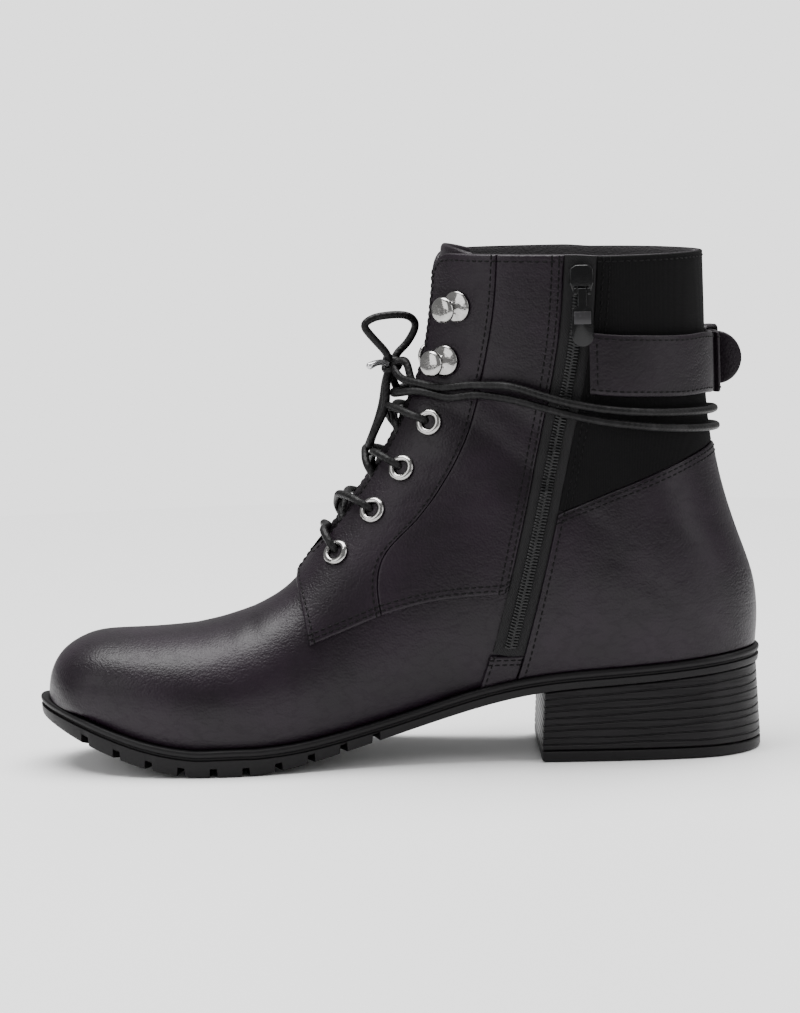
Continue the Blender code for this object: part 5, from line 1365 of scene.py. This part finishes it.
# A tooth from its head to its foot on the tape: share of its reach, width, height
TOOTH = ((-0.50, 0.36, 0.00), (-0.44, 0.80, 0.62), (-0.20, 1.00, 0.95), (0.30, 1.00, 1.00),
         (0.44, 0.78, 0.80), (0.50, 0.40, 0.30))
TOOTH_HALF = 0.44 * TOOTH_PITCH
TOOTH_EDGE = 0.0003
CHAIN_START = 0.0035
CHAIN_SPARE = 0.0060
chain_low = CHAIN_LIFT - CHAIN_THICKNESS / 2
tooth_points = []
tooth_faces = []
for number in range(int((zip_lengths[-1] - CHAIN_SPARE) / TOOTH_PITCH)):
    for side, offset in ((-1, 0.0), (1, 0.5)):
        at = CHAIN_START + (number + offset) * TOOTH_PITCH
        first = len(tooth_points)
        for share, wide, high in TOOTH:
            across = -side * (share * 1.28 - 0.36) * CHAIN_HALF
            half = TOOTH_HALF * wide
            top = chain_low + CHAIN_THICKNESS * (0.35 + 0.65 * high)
            outline = ((-1, chain_low), (1, chain_low), (1, top - TOOTH_EDGE), (0.5, top), (-0.5, top),
                       (-1, top - TOOTH_EDGE))
            tooth_points += [zip_place(at + half * way, across, lift) for way, lift in outline]
        tooth_faces += band_faces(len(TOOTH), 6, first)
        last = first + 6 * (len(TOOTH) - 1)
        tooth_faces += [tuple(range(first, first + 6))[::-1], tuple(range(last, last + 6))]
chain = add_mesh("zip_chain", tooth_points, tooth_faces, nylon.material, crease=50.0)
finish_piece(chain, "tape", "zip_coil")

# Tab below the zip
FOOT_FRONT = (-0.0668, 0.0285)
FOOT_REAR = -0.0535
FOOT_GAP = (-0.0003, 0, 0)
foot_front = np.array([locate(x, z, -1) for x, z in
                       np.linspace(FOOT_FRONT, (zip_front_line[0, 0] - 0.0006, zip_front_line[0, 2]), 12)])
foot_seat = feather(np.linspace(turn_at(FOOT_FRONT[0]), turn_at(FOOT_REAR), 16), -1)
foot_front_line = np.concatenate([foot_seat[:1], curve(foot_front)[2:]])
foot_rear = np.linspace(medial_base[0], zip_rear_line[0], 12) + FOOT_GAP
foot_top = np.linspace(foot_front_line[-1], foot_rear[-1], 12)
zip_foot = Patch("zip_foot_leather", foot_seat, foot_top, foot_front_line, foot_rear, SEAT, OVERLAY, LEATHER,
                 bevel=0.0008, pitch=0.0010)
finish_piece(zip_foot.piece, "leather")
stitches("zip_stitches",
         [zip_foot.line("left", 0.0016), zip_foot.line("top", 0.0015), zip_foot.line("top", 0.0034)])


# Slider and pull
# Black enamelled die-cast slider at the top of the zip. The pull swings on its bridge: a
# flat shank over a rounded, thicker end. The shank is the same enamel in a lighter grey, a painted highlight
# on the pull's upper part.
SLIDER_LIFT = 0.0030
SLIDER_THICKNESS = 0.0020
HINGE_RISE = 0.0020
HINGE_PLACE = (0.245, 0.945)
PULL_LENGTH = 0.0200
PULL_HALF = 0.0039
PULL_NECK = 0.0016
PULL_THICKNESS = 0.0015
PULL_END = 0.0012
PULL_SIDE = ((PULL_HALF, -0.0068), (PULL_HALF - 0.0004, -0.0062), (PULL_NECK, -0.0052), (PULL_NECK, PULL_END))
SHANK_HALF = 0.0031
SHANK_ENDS = (-0.0118, -0.0072)
SHANK_SUNK = 0.0002
SHANK_RISE = 0.0003
LUG_HALF = 0.0013
LUG_THICKNESS = 0.0012
LUG_ROOT = 0.0005
SLIDER_OUTLINE = ((-0.0030, -0.0015), (0.0030, -0.0015), (0.0044, 0.0030), (0.0044, 0.0080),
                  (0.0022, 0.0095), (-0.0022, 0.0095), (-0.0044, 0.0080), (-0.0044, 0.0030))


def enamel_finish(name, colour, roughness):
    """Black enamel on metal, worn a little at random."""
    look = Finish(name, colour, roughness, 0.35,
                  Coat_Weight=0.20, Coat_Roughness=0.12, Specular_IOR_Level=0.22)
    wear = look.noise(0.0025, 4.0)
    look.colour(wear.step(0.55, 0.8), colour, np.multiply(colour, 2.6))
    (roughness - 0.05 + wear * 0.15).into(look.shader, "Roughness")
    look.relief(look.noise(0.0006), 0.00003)
    return look.material


ENAMEL = enamel_finish("black_enamel", (0.004, 0.004, 0.0043), 0.20)


def plate(name, outline, low, high, finish, place, edge=0.0003, steps=2):
    """Flat piece between two heights of its own frame, with its edges rounded."""
    shape = bmesh.new()
    corners = [shape.verts.new((x, y, low)) for x, y in outline]
    face = shape.faces.new(corners)
    grown = bmesh.ops.extrude_face_region(shape, geom=[face])
    moved = [part for part in grown["geom"] if isinstance(part, bmesh.types.BMVert)]
    bmesh.ops.translate(shape, verts=moved, vec=(0, 0, high - low))
    bmesh.ops.recalc_face_normals(shape, faces=shape.faces)
    bmesh.ops.bevel(shape, geom=shape.edges[:], offset=edge, segments=steps, profile=0.5, affect="EDGES")
    shape.transform(place)
    mesh = bpy.data.meshes.new(name)
    shape.to_mesh(mesh)
    shape.free()
    mesh.materials.append(finish)
    mesh.shade_smooth()
    mesh.set_sharp_from_angle(angle=math.radians(50))
    made = bpy.data.objects.new(name, mesh)
    bpy.context.collection.objects.link(made)
    return made


spot = side_place(*HINGE_PLACE)
hinge = frame_at(*locate(*spot, -1), SLIDER_LIFT + SLIDER_THICKNESS + HINGE_RISE)
slider = plate("slider_body", SLIDER_OUTLINE, -HINGE_RISE - SLIDER_THICKNESS, -HINGE_RISE, ENAMEL, hinge,
               0.0006, 3)
finish_piece(slider, "black_metal", "zip_slider")
for name, side in (("front", -1), ("rear", 1)):
    inner = side * (PULL_NECK + SEAT)
    outer = inner + side * LUG_THICKNESS
    corners = ((inner, -LUG_HALF), (outer, -LUG_HALF), (outer, LUG_HALF), (inner, LUG_HALF))[::side]
    lug = plate("slider_lug_" + name, corners, -HINGE_RISE - LUG_ROOT, PULL_THICKNESS / 2, ENAMEL, hinge,
                steps=3)
    finish_piece(lug, "black_metal")
round_end = [(PULL_HALF * math.cos(angle), PULL_HALF - PULL_LENGTH - PULL_HALF * math.sin(angle))
             for angle in np.linspace(0, math.pi, 25)]
pull_outline = [(-x, y) for x, y in PULL_SIDE[::-1]] + round_end[::-1] + list(PULL_SIDE)
pull = plate("pull_tab", pull_outline, -PULL_THICKNESS / 2, PULL_THICKNESS / 2, ENAMEL, hinge, 0.00025)
finish_piece(pull, "black_metal", "zip_pull", body="pull")
# Same enamel and random wear in a lighter grey: the lighter grey is a painted highlight on the pull's upper
# part
SHANK_PAINTED_HIGHLIGHT = enamel_finish("shank_enamel_painted_highlight", (0.026, 0.025, 0.027), 0.40)
shank_outline = [(SHANK_HALF * side, y) for side, y in zip((-1, 1, 1, -1), np.repeat(SHANK_ENDS, 2).tolist())]
shank = plate("pull_shank", shank_outline, PULL_THICKNESS / 2 - SHANK_SUNK, PULL_THICKNESS / 2 + SHANK_RISE,
              SHANK_PAINTED_HIGHLIGHT, hinge, 0.0002)
finish_piece(shank, "black_metal", body="pull")


# Eyelets and hooks
# Rolled nickel eyelets, four on each facing, and above them two lacing hooks with domed caps
# that lean forwards over their bases. Places are along and rise, profiles radius and height.
EYELETS = ((0.450, 0.689), (0.489, 0.597), (0.530, 0.515), (0.581, 0.433))
EYELET_LIFT = 3 * SEAT + OVERLAY
EYELET_PROFILE = ((0.00265, -0.0034), (0.00250, -0.0006), (0.00252, 0.0002), (0.00275, 0.0006),
                  (0.00320, 0.00083), (0.00370, 0.00090), (0.00425, 0.00078), (0.00470, 0.00048),
                  (0.00495, 0.00010), (0.00500, -0.0003), (0.00470, -0.0005), (0.00320, -0.0004),
                  (0.00300, -0.0034))
HOOKS = ((0.407, 0.954, 1.6), (0.424, 0.827, 3.0))
HOOK_LEAN = (0.0026, 0.0010)
NECK_START = 0.0016
NECK_HEIGHT = 0.0016
HOOK_PROFILE = ((0.0, -0.0002), (0.0057, -0.0002), (0.0058, 0.0001), (0.0056, 0.0005), (0.0050, 0.0008),
                (0.0034, 0.0011), (0.0022, 0.0017), (0.0019, 0.0024), (0.0020, 0.0034), (0.0028, 0.0038),
                (0.0043, 0.0039), (0.0048, 0.0042), (0.0049, 0.0046), (0.00485, 0.0051), (0.0046, 0.0056),
                (0.0041, 0.0060), (0.0033, 0.00625), (0.0018, 0.0064), (0.0, 0.00645))


def nickel_finish(name, roughness):
    """Polished nickel with fine scratches and finger haze."""
    look = Finish(name, (0.34, 0.33, 0.32), roughness, 1.0)
    haze = look.noise(0.003, 3.0)
    scratch = look.noise(0.0012, 4.0, (1.0, 1.0, 9.0)).step(0.55, 0.7)
    look.colour(haze * 0.8 + scratch * 0.2, (0.22, 0.215, 0.21), (0.52, 0.51, 0.50))
    (roughness - 0.03 + haze * 0.07 + scratch * 0.05).into(look.shader, "Roughness")
    look.relief(haze * 0.6 + scratch * 0.4, 0.00002)
    return look.material


NICKEL = nickel_finish("polished_nickel", 0.06)


def reworked(piece, work, part, **settings):
    """Runs one bmesh operation over a piece's own vertices or faces."""
    shape = bmesh.new()
    shape.from_mesh(piece.data)
    work(shape, **{part: getattr(shape, part)}, **settings)
    shape.to_mesh(piece.data)
    shape.free()
    return piece


def turned(name, profile, place, finish, sides=36, lean=None, closed=False):
    """Round piece about the Z of its place, from (radius, height) points."""
    points = []
    for angle in np.arange(sides) * 2 * math.pi / sides:
        for radius, height in profile:
            point = Vector((radius * math.cos(angle), radius * math.sin(angle), height))
            points.append(place @ (point + lean(height) if lean else point))
    faces = [(a, d, c, b) for a, b, c, d in band_faces(sides, len(profile), wrap=closed, closed=True)]
    made = add_mesh(name, points, faces, finish, crease=50.0)
    return reworked(made, bmesh.ops.remove_doubles, "verts", dist=1e-6)


eyelet_spots = {}
for number, shares in enumerate(EYELETS, 1):
    for name, side in SIDES:
        eyelet_spots[side, number] = locate(*side_place(*shares), side)
        place = frame_at(*eyelet_spots[side, number], EYELET_LIFT)
        ring = turned(f"{name}_eyelet_{number}", EYELET_PROFILE, place, NICKEL, closed=True)
        finish_piece(ring, "nickel", f"eyelet_{name}_{number}")
for number, (along, rise, seat) in enumerate(HOOKS, 1):
    for name, side in SIDES:
        place = frame_at(*locate(*side_place(along, rise), side), SEAT + OVERLAY + seat * SEAT)
        slide = Vector((-HOOK_LEAN[0], side * HOOK_LEAN[1], 0.0))

        def lean(height, slide=slide):
            return slide * min(max((height - NECK_START) / NECK_HEIGHT, 0.0), 1.0)

        hook = turned(f"{name}_hook_{number}", HOOK_PROFILE, place, NICKEL, 40, lean)
        finish_piece(hook, "nickel", f"hook_{name}_{number}")


# Strap
# Two layers of leather stitched along the edges, from the zip round the back of the gore to
# a buckle on the lateral side. Its holed end comes from the lateral seam.
STRAP_THICKNESS = 0.0020
STRAP_HALF = 0.0112
TAB_HALF = 0.0100
BAND_LIFT = 3 * SEAT + GORE_THICKNESS + STRAP_THICKNESS / 2 + 0.0005
BAND_ROUTE = ((0.2355, 0.766), (0.205, 0.755), (0.170, 0.746), (0.135, 0.737), (0.105, 0.730), (0.085, 0.727))
BAND_ROW = 22.45
BUCKLE_PLACE = (0.137, 0.727)
BUCKLE_LENGTH = 0.0230
TAB_REST = 0.0026
TAB_ROUTE = ((-0.93, 0.60), (-0.62, 1.05), (-0.30, 1.30), (0.0, 1.75), (0.35, 2.30), (0.70, 2.65),
             (0.95, 2.75), (1.12, 3.10), (1.30, 3.75), (1.44, 4.55))
BAND_END = ((1.37, -5.1), (1.30, -2.9), (1.15, -0.5), (0.97, 0.55), (0.80, 0.95))
STRAP_LEATHER = leather_finish("strap_leather", (0.0060, 0.0032, 0.0059), 1.2, 0.46)
buckle = frame_at(*locate(*side_place(*BUCKLE_PLACE), 1), TAB_REST - STRAP_THICKNESS / 2)


ACROSS = (-1.0, -0.985, -0.94, -0.80, -0.5, 0.0, 0.5, 0.80, 0.94, 0.985, 1.0)
PUFF = (0.42, 0.72, 0.94, 1.0, 1.05, 1.06, 1.05, 1.0, 0.94, 0.72, 0.42)
STRAP_PITCH = 0.0009
TIP_LENGTH = 0.0095
TIP_CROWDING = 1.35
TIP_LEAST = 0.0012
EDGE_SEAM = 0.0017
CROSS_SPAN = (0.08, 0.92)
CROSS_POINTS = 24


def buckle_point(x, y, z):
    return np.array(buckle @ Vector((x, y, z)))


def buckle_way(x, y, z):
    return np.array(buckle.to_3x3() @ Vector((x, y, z)))


def strap(name, stations, half, tip=0.0):
    """Strap through stations of (middle, across, out), with soft edges and a round tip."""
    stations = np.array(stations).reshape(len(stations), 9)
    lengths = lengths_of(stations[:, :3])
    where = np.linspace(0, 1, max(int(lengths[-1] / STRAP_PITCH), 12) + 1)
    if tip:
        where = 1 - (1 - where) ** TIP_CROWDING
    shares = np.array(ACROSS)
    puff = np.array(PUFF)
    points = []
    seams = []
    for row, part in zip(spline(lengths, stations)(where * lengths[-1]), where):
        left = (1 - part) * lengths[-1]
        wide = half * math.sqrt(max(1 - (1 - min(left / tip, 1.0)) ** 2, 0.0)) if tip else half
        wide = max(wide, TIP_LEAST)
        middle, across, out = row.reshape(3, 3)
        across = across / np.linalg.norm(across)
        out = out - across * np.dot(out, across)
        out /= np.linalg.norm(out)
        rise = out * STRAP_THICKNESS / 2
        points += [middle + across * wide * share + rise * high for share, high in zip(shares, puff)]
        points += [middle + across * wide * share - rise * high / PUFF[5]
                   for share, high in zip(shares[::-1], puff)]
        inset = max(wide - EDGE_SEAM, 0.0002)
        seams.append([(middle + across * side * inset + rise, out) for side in (-1, 1)])
    size = 2 * len(shares)
    faces = band_faces(len(where), size)
    for start in (0, (len(where) - 1) * size):
        faces += [(start + pair, start + pair + 1, start + size - 2 - pair, start + size - 1 - pair)
                  for pair in range(size // 2 - 1)]
    piece = add_mesh(name, points, faces, STRAP_LEATHER, crease=45.0)
    seams = np.array(seams)
    return (reworked(piece, bmesh.ops.recalc_face_normals, "faces"),
            [(seams[:, side, 0], seams[:, side, 1]) for side in (0, 1)])


def route_stations(route, flip):
    stations = []
    for number, shares in enumerate(route):
        before = route[max(number - 1, 0)]
        after = route[min(number + 1, len(route) - 1)]
        way = Vector(((after[0] - before[0]) * BUCKLE_LENGTH,
                      (after[1] - before[1]) * STRAP_THICKNESS)).normalized()
        middle = buckle_point(shares[0] * BUCKLE_LENGTH, 0.0, shares[1] * STRAP_THICKNESS)
        stations.append((middle, flip * buckle_way(0, 1, 0), flip * buckle_way(-way.y, 0, way.x)))
    return stations


band_places = [locate(*side_place(*shares), -1) for shares in BAND_ROUTE]
band_places += [(BAND_ROW, v) for v in (-0.955, -0.97, -0.985, 1.0, 0.985, 0.97)]
band_stations = []
for place in band_places:
    middle, out = on_form(*place, BAND_LIFT)
    band_stations.append((middle, (0.0, 0.0, 1.0), out))
band, band_lines = strap("ankle_strap", band_stations + route_stations(BAND_END, -1), STRAP_HALF)
finish_piece(band, "leather", "strap_band")
tab, tab_lines = strap("strap_holed_end", route_stations(TAB_ROUTE, 1), TAB_HALF, TIP_LENGTH)
finish_piece(tab, "leather", "strap_tab")
cross_lines = []
for lines in (band_lines, tab_lines):
    start, end = (line[0][3] for line in lines)
    places = np.linspace(*(start + (end - start) * share for share in CROSS_SPAN), CROSS_POINTS)
    cross_lines.append((places, np.repeat(lines[0][1][3:4], CROSS_POINTS, axis=0)))
stitches("strap_stitches", band_lines + tab_lines + cross_lines)

# Punched holes: shallow closed cups, their floor painted shade in place of the open hole and their lip the
# raw cut edge
HOLES = (-0.0060, 0.0030, 0.0085, 0.0140, 0.0285)
HOLE_PROFILE = ((0.0, -0.0006), (0.0011, -0.0006), (0.0012, 0.0), (0.0014, 0.00018), (0.0017, 0.00015),
                (0.0020, 0.0))
# Matt near-black over the whole cup: raw cut edge at the lip, painted shade on the floor where the hole would
# open
hole_lip_and_shade = Finish("hole_lip_and_painted_shade", (0.004, 0.004, 0.004), 0.9)
hole_lip_and_shade.colour(hole_lip_and_shade.noise(0.0005), (0.002, 0.002, 0.002), (0.008, 0.007, 0.007))
route = np.array(TAB_ROUTE)


def tab_height(x):
    return float(np.interp(x / BUCKLE_LENGTH, route[:, 0], route[:, 1])) * STRAP_THICKNESS


for number, x in enumerate(HOLES, 1):
    height = tab_height(x)
    turn = Matrix.Rotation(-math.atan2(height - tab_height(x - 0.001), 0.001), 4, "Y")
    place = buckle @ Matrix.Translation((x, 0, height + STRAP_THICKNESS * 0.53)) @ turn
    finish_piece(turned(f"punched_hole_{number}", HOLE_PROFILE, place, hole_lip_and_shade.material, 20), "leather")


# Buckle
# Nickel-plated wire frame with a flat pin that lies over its front bar, and a leather keeper
# round both layers behind it.
BUCKLE_HALF = 0.0135
BUCKLE_WIRE = 0.0026
BUCKLE_CORNER = 0.0035
FRONT_BAR = -0.0070
PIN_RADIUS = 0.0008
PIN_ROOT = 0.0062
PIN_BEND = 0.0040
PIN_CREST = 0.0024
PIN_POINT = 0.0022
KEEPER_SPAN = (0.0193, 0.0239)
KEEPER_HALF = 0.0115
KEEPER_HEIGHTS = (-0.0013, 0.0075)
KEEPER_THICKNESS = 0.0012
KEEPER_CORNER = 0.0012

# Section of the keeper round its edges: share of its width, height over its inside
KEEPER_SECTION = ((0.0, 0.0003), (0.0, 0.0008), (0.08, 0.0011), (0.5, KEEPER_THICKNESS), (0.92, 0.0011),
                  (1.0, 0.0008), (1.0, 0.0003), (0.9, 0.0), (0.1, 0.0))

wire = BUCKLE_WIRE / 2
half_x = BUCKLE_LENGTH / 2 - wire
middle_x = FRONT_BAR + BUCKLE_LENGTH / 2
rest = STRAP_THICKNESS / 2 + SEAT + wire
front_z = tab_height(middle_x - half_x) + rest
heel_z = tab_height(middle_x + half_x) - rest


def rounded_loop(half_x, half_y, corner, steps):
    """Closed outline with round corners."""
    loop = []
    for quarter, (sign_x, sign_y) in enumerate(((1, 1), (-1, 1), (-1, -1), (1, -1))):
        for step in range(steps + 1):
            angle = math.pi / 2 * (quarter + step / steps)
            loop.append((sign_x * (half_x - corner) + corner * math.cos(angle),
                         sign_y * (half_y - corner) + corner * math.sin(angle)))
    return loop


loop = rounded_loop(half_x, BUCKLE_HALF, BUCKLE_CORNER, 10)
loop = [((1 - share) * x + share * after_x, (1 - share) * y + share * after_y)
        for (x, y), (after_x, after_y) in zip(loop, loop[1:] + loop[:1]) for share in (0.0, 0.5)]
loop += loop[:2]
frame_path = [buckle_point(middle_x + x, y, front_z + (heel_z - front_z) * (x + half_x) / (2 * half_x))
              for x, y in loop]
buckle_wire = tubes("buckle_wire", [frame_path], wire, 16, NICKEL)
finish_piece(buckle_wire, "nickel", "buckle_frame")

bar = FRONT_BAR + wire
over = STRAP_THICKNESS / 2 + SEAT + PIN_RADIUS
hump = tab_height(bar) + over + 2 * wire + SEAT
pin_route = ((bar + PIN_ROOT, tab_height(bar + PIN_ROOT) + over),
             (bar + PIN_BEND, tab_height(bar + PIN_BEND) + over + wire),
             (bar + PIN_CREST, hump), (bar, hump + SEAT), (bar - PIN_POINT, hump))
pin_path = smooth_path([buckle_point(x, 0, z) for x, z in pin_route], 0.0004)
finish_piece(tubes("buckle_pin_wire", [pin_path], PIN_RADIUS, 14, NICKEL), "nickel", "buckle_pin")

middle_z = sum(KEEPER_HEIGHTS) / 2
half_z = (KEEPER_HEIGHTS[1] - KEEPER_HEIGHTS[0]) / 2
keeper_rings = []
for share, grow in KEEPER_SECTION:
    x = KEEPER_SPAN[0] + (KEEPER_SPAN[1] - KEEPER_SPAN[0]) * share
    keeper_rings.append([buckle_point(x, y, middle_z + z) for y, z in
                         rounded_loop(KEEPER_HALF + grow, half_z + grow, KEEPER_CORNER + grow, 6)])
keeper_faces = band_faces(len(keeper_rings), len(keeper_rings[0]), closed=True)
keeper = add_mesh("strap_keeper_loop", np.concatenate(keeper_rings), keeper_faces, STRAP_LEATHER, crease=45.0)
finish_piece(keeper, "leather", "strap_keeper")


# Laced run
# The same cord runs through the eyelets: it comes up through each hole, crosses the tongue
# and goes under the opposite facing. A straight run closes the bottom.
UNDER = 0.0014
OVER = 0.0042
CORD_PITCH = 0.0007

# How the cord rises out of an eyelet: reach from its middle, lift off the upper
EYELET_RISE = ((0.0, -0.0036), (0.0008, 0.0), (0.0022, 0.0034), (0.0048, 0.0049))

# How it crosses the tongue and dips under a facing: share of the way, lift off the upper
CREST = (0.24, 0.0050)
TONGUE_SHARE = 0.36
TONGUE_LIFT = 0.0012
FACING_SHARE = 0.62
FACING_DIP = ((0.71, -0.0006), (0.80, -0.0024), (0.92, -0.0034))

# How a tie goes from the knot under a facing: rows above the top eyelet, share, lift
TIE = ((1.7, 0.15, 0.0042), (1.1, 0.40, 0.0022), (0.6, 0.75, 0.0002), (0.3, 1.10, -0.0022),
       (0.1, 1.45, -0.0034))


def crossing(start, end, middle, through):
    """Run from an eyelet across the tongue, down an eyelet or under the facing's edge."""
    (u0, v0), (u1, v1) = start, end
    stretch = float(np.linalg.norm(sampled(form, u0, v0) - sampled(form, u1, v1)))
    rows = [(reach / stretch, lift) for reach, lift in EYELET_RISE]
    rows += [CREST, (TONGUE_SHARE, middle + TONGUE_LIFT), (0.5, middle)]
    if through:
        rows += [(1 - share, lift) for share, lift in rows[-2::-1]]
    else:
        rows += [(FACING_SHARE, middle * 0.7), *FACING_DIP]
    path = [on_form(u0 + (u1 - u0) * share, v0 + (v1 - v0) * share, lift)[0] for share, lift in rows]
    return smooth_path(path, CORD_PITCH)


runs = [crossing(eyelet_spots[-1, 4], eyelet_spots[1, 4], UNDER, True)]
for number in range(1, 4):
    for side in (-1, 1):
        middle = OVER if (side < 0) == number % 2 else UNDER
        runs.append(crossing(eyelet_spots[side, number], eyelet_spots[-side, number + 1], middle, False))
for side in (-1, 1):
    u, v = eyelet_spots[side, 1]
    reach = side * throat_reach(u) / girth(u, side)
    tie = [KNOT_PLACE] + [on_form(u + row, part * reach, lift)[0] for row, part, lift in TIE]
    runs.append(smooth_path(tie, CORD_PITCH))
finish_piece(tubes("laced_cord", runs, LACE_RADIUS, CORD_SIDES, CORD), "cord", "lace_crossings")


# Ankle turns
# From the knot the cord goes twice round the ankle, over the zip, the gore and the strap's
# lower edge, and back to the knot.
WRAP = ((-1, 0.474, 0.788, 0.0044), (-1, 0.441, 0.770, 0.0044), (-1, 0.367, 0.747, 0.0042),
        (-1, 0.293, 0.697, 0.0049), (-1, 0.245, 0.665, 0.0049), (-1, 0.145, 0.625, 0.0039),
        (-1, 0.090, 0.609, 0.0037), (1, 0.0725, 0.600, 0.0037), (1, 0.110, 0.602, 0.0037),
        (1, 0.185, 0.640, 0.0038), (1, 0.245, 0.668, 0.0042), (1, 0.363, 0.715, 0.0042),
        (1, 0.441, 0.762, 0.0044), (1, 0.477, 0.768, 0.0044), (-1, 0.441, 0.748, 0.0044),
        (-1, 0.367, 0.718, 0.0042), (-1, 0.293, 0.668, 0.0049), (-1, 0.245, 0.636, 0.0049),
        (-1, 0.145, 0.588, 0.0039), (-1, 0.090, 0.567, 0.0037), (1, 0.0700, 0.555, 0.0037),
        (1, 0.110, 0.563, 0.0037), (1, 0.185, 0.612, 0.0038), (1, 0.245, 0.640, 0.0042),
        (1, 0.363, 0.688, 0.0042), (1, 0.441, 0.742, 0.0044), (1, 0.481, 0.747, 0.0044))
WRAP_POINTS = 420
WRAP_PITCH = 0.0011
stations = []
for side, along, rise, lift in WRAP:
    u, v = locate(*side_place(along, rise), side)
    way = -v if side < 0 else 2 - v
    while stations and way < stations[-1][0] - 0.5:
        way += 2
    stations.append((way, u, lift))
stations = np.array(stations)
wrap_at = spline(stations[:, 0], stations[:, 1:])
wrap_path = []
for where in np.linspace(stations[0, 0], stations[-1, 0], WRAP_POINTS):
    u, lift = wrap_at(where)
    wrap_path.append(on_form(u, (1 - where) % 2 - 1, lift)[0])
start_way, end_way = ([Vector(KNOT_PLACE).lerp(Vector(end), share) for share in shares]
                      for end, shares in ((wrap_path[0], (0.25, 0.6)), (wrap_path[-1], (0.6, 0.25))))
turns = smooth_path([*start_way, *wrap_path[4:-4:6], *end_way], WRAP_PITCH)
finish_piece(tubes("ankle_turns", [turns], LACE_RADIUS, CORD_SIDES, CORD), "cord", "lace_wrap")


# Size
# The solids' box and the visual model's box, side by side.
boxes = {"cad": cad_box, "visual": [list(corner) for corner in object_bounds()]}
{name: [[float(value) for value in corner] for corner in box] for name, box in boxes.items()}
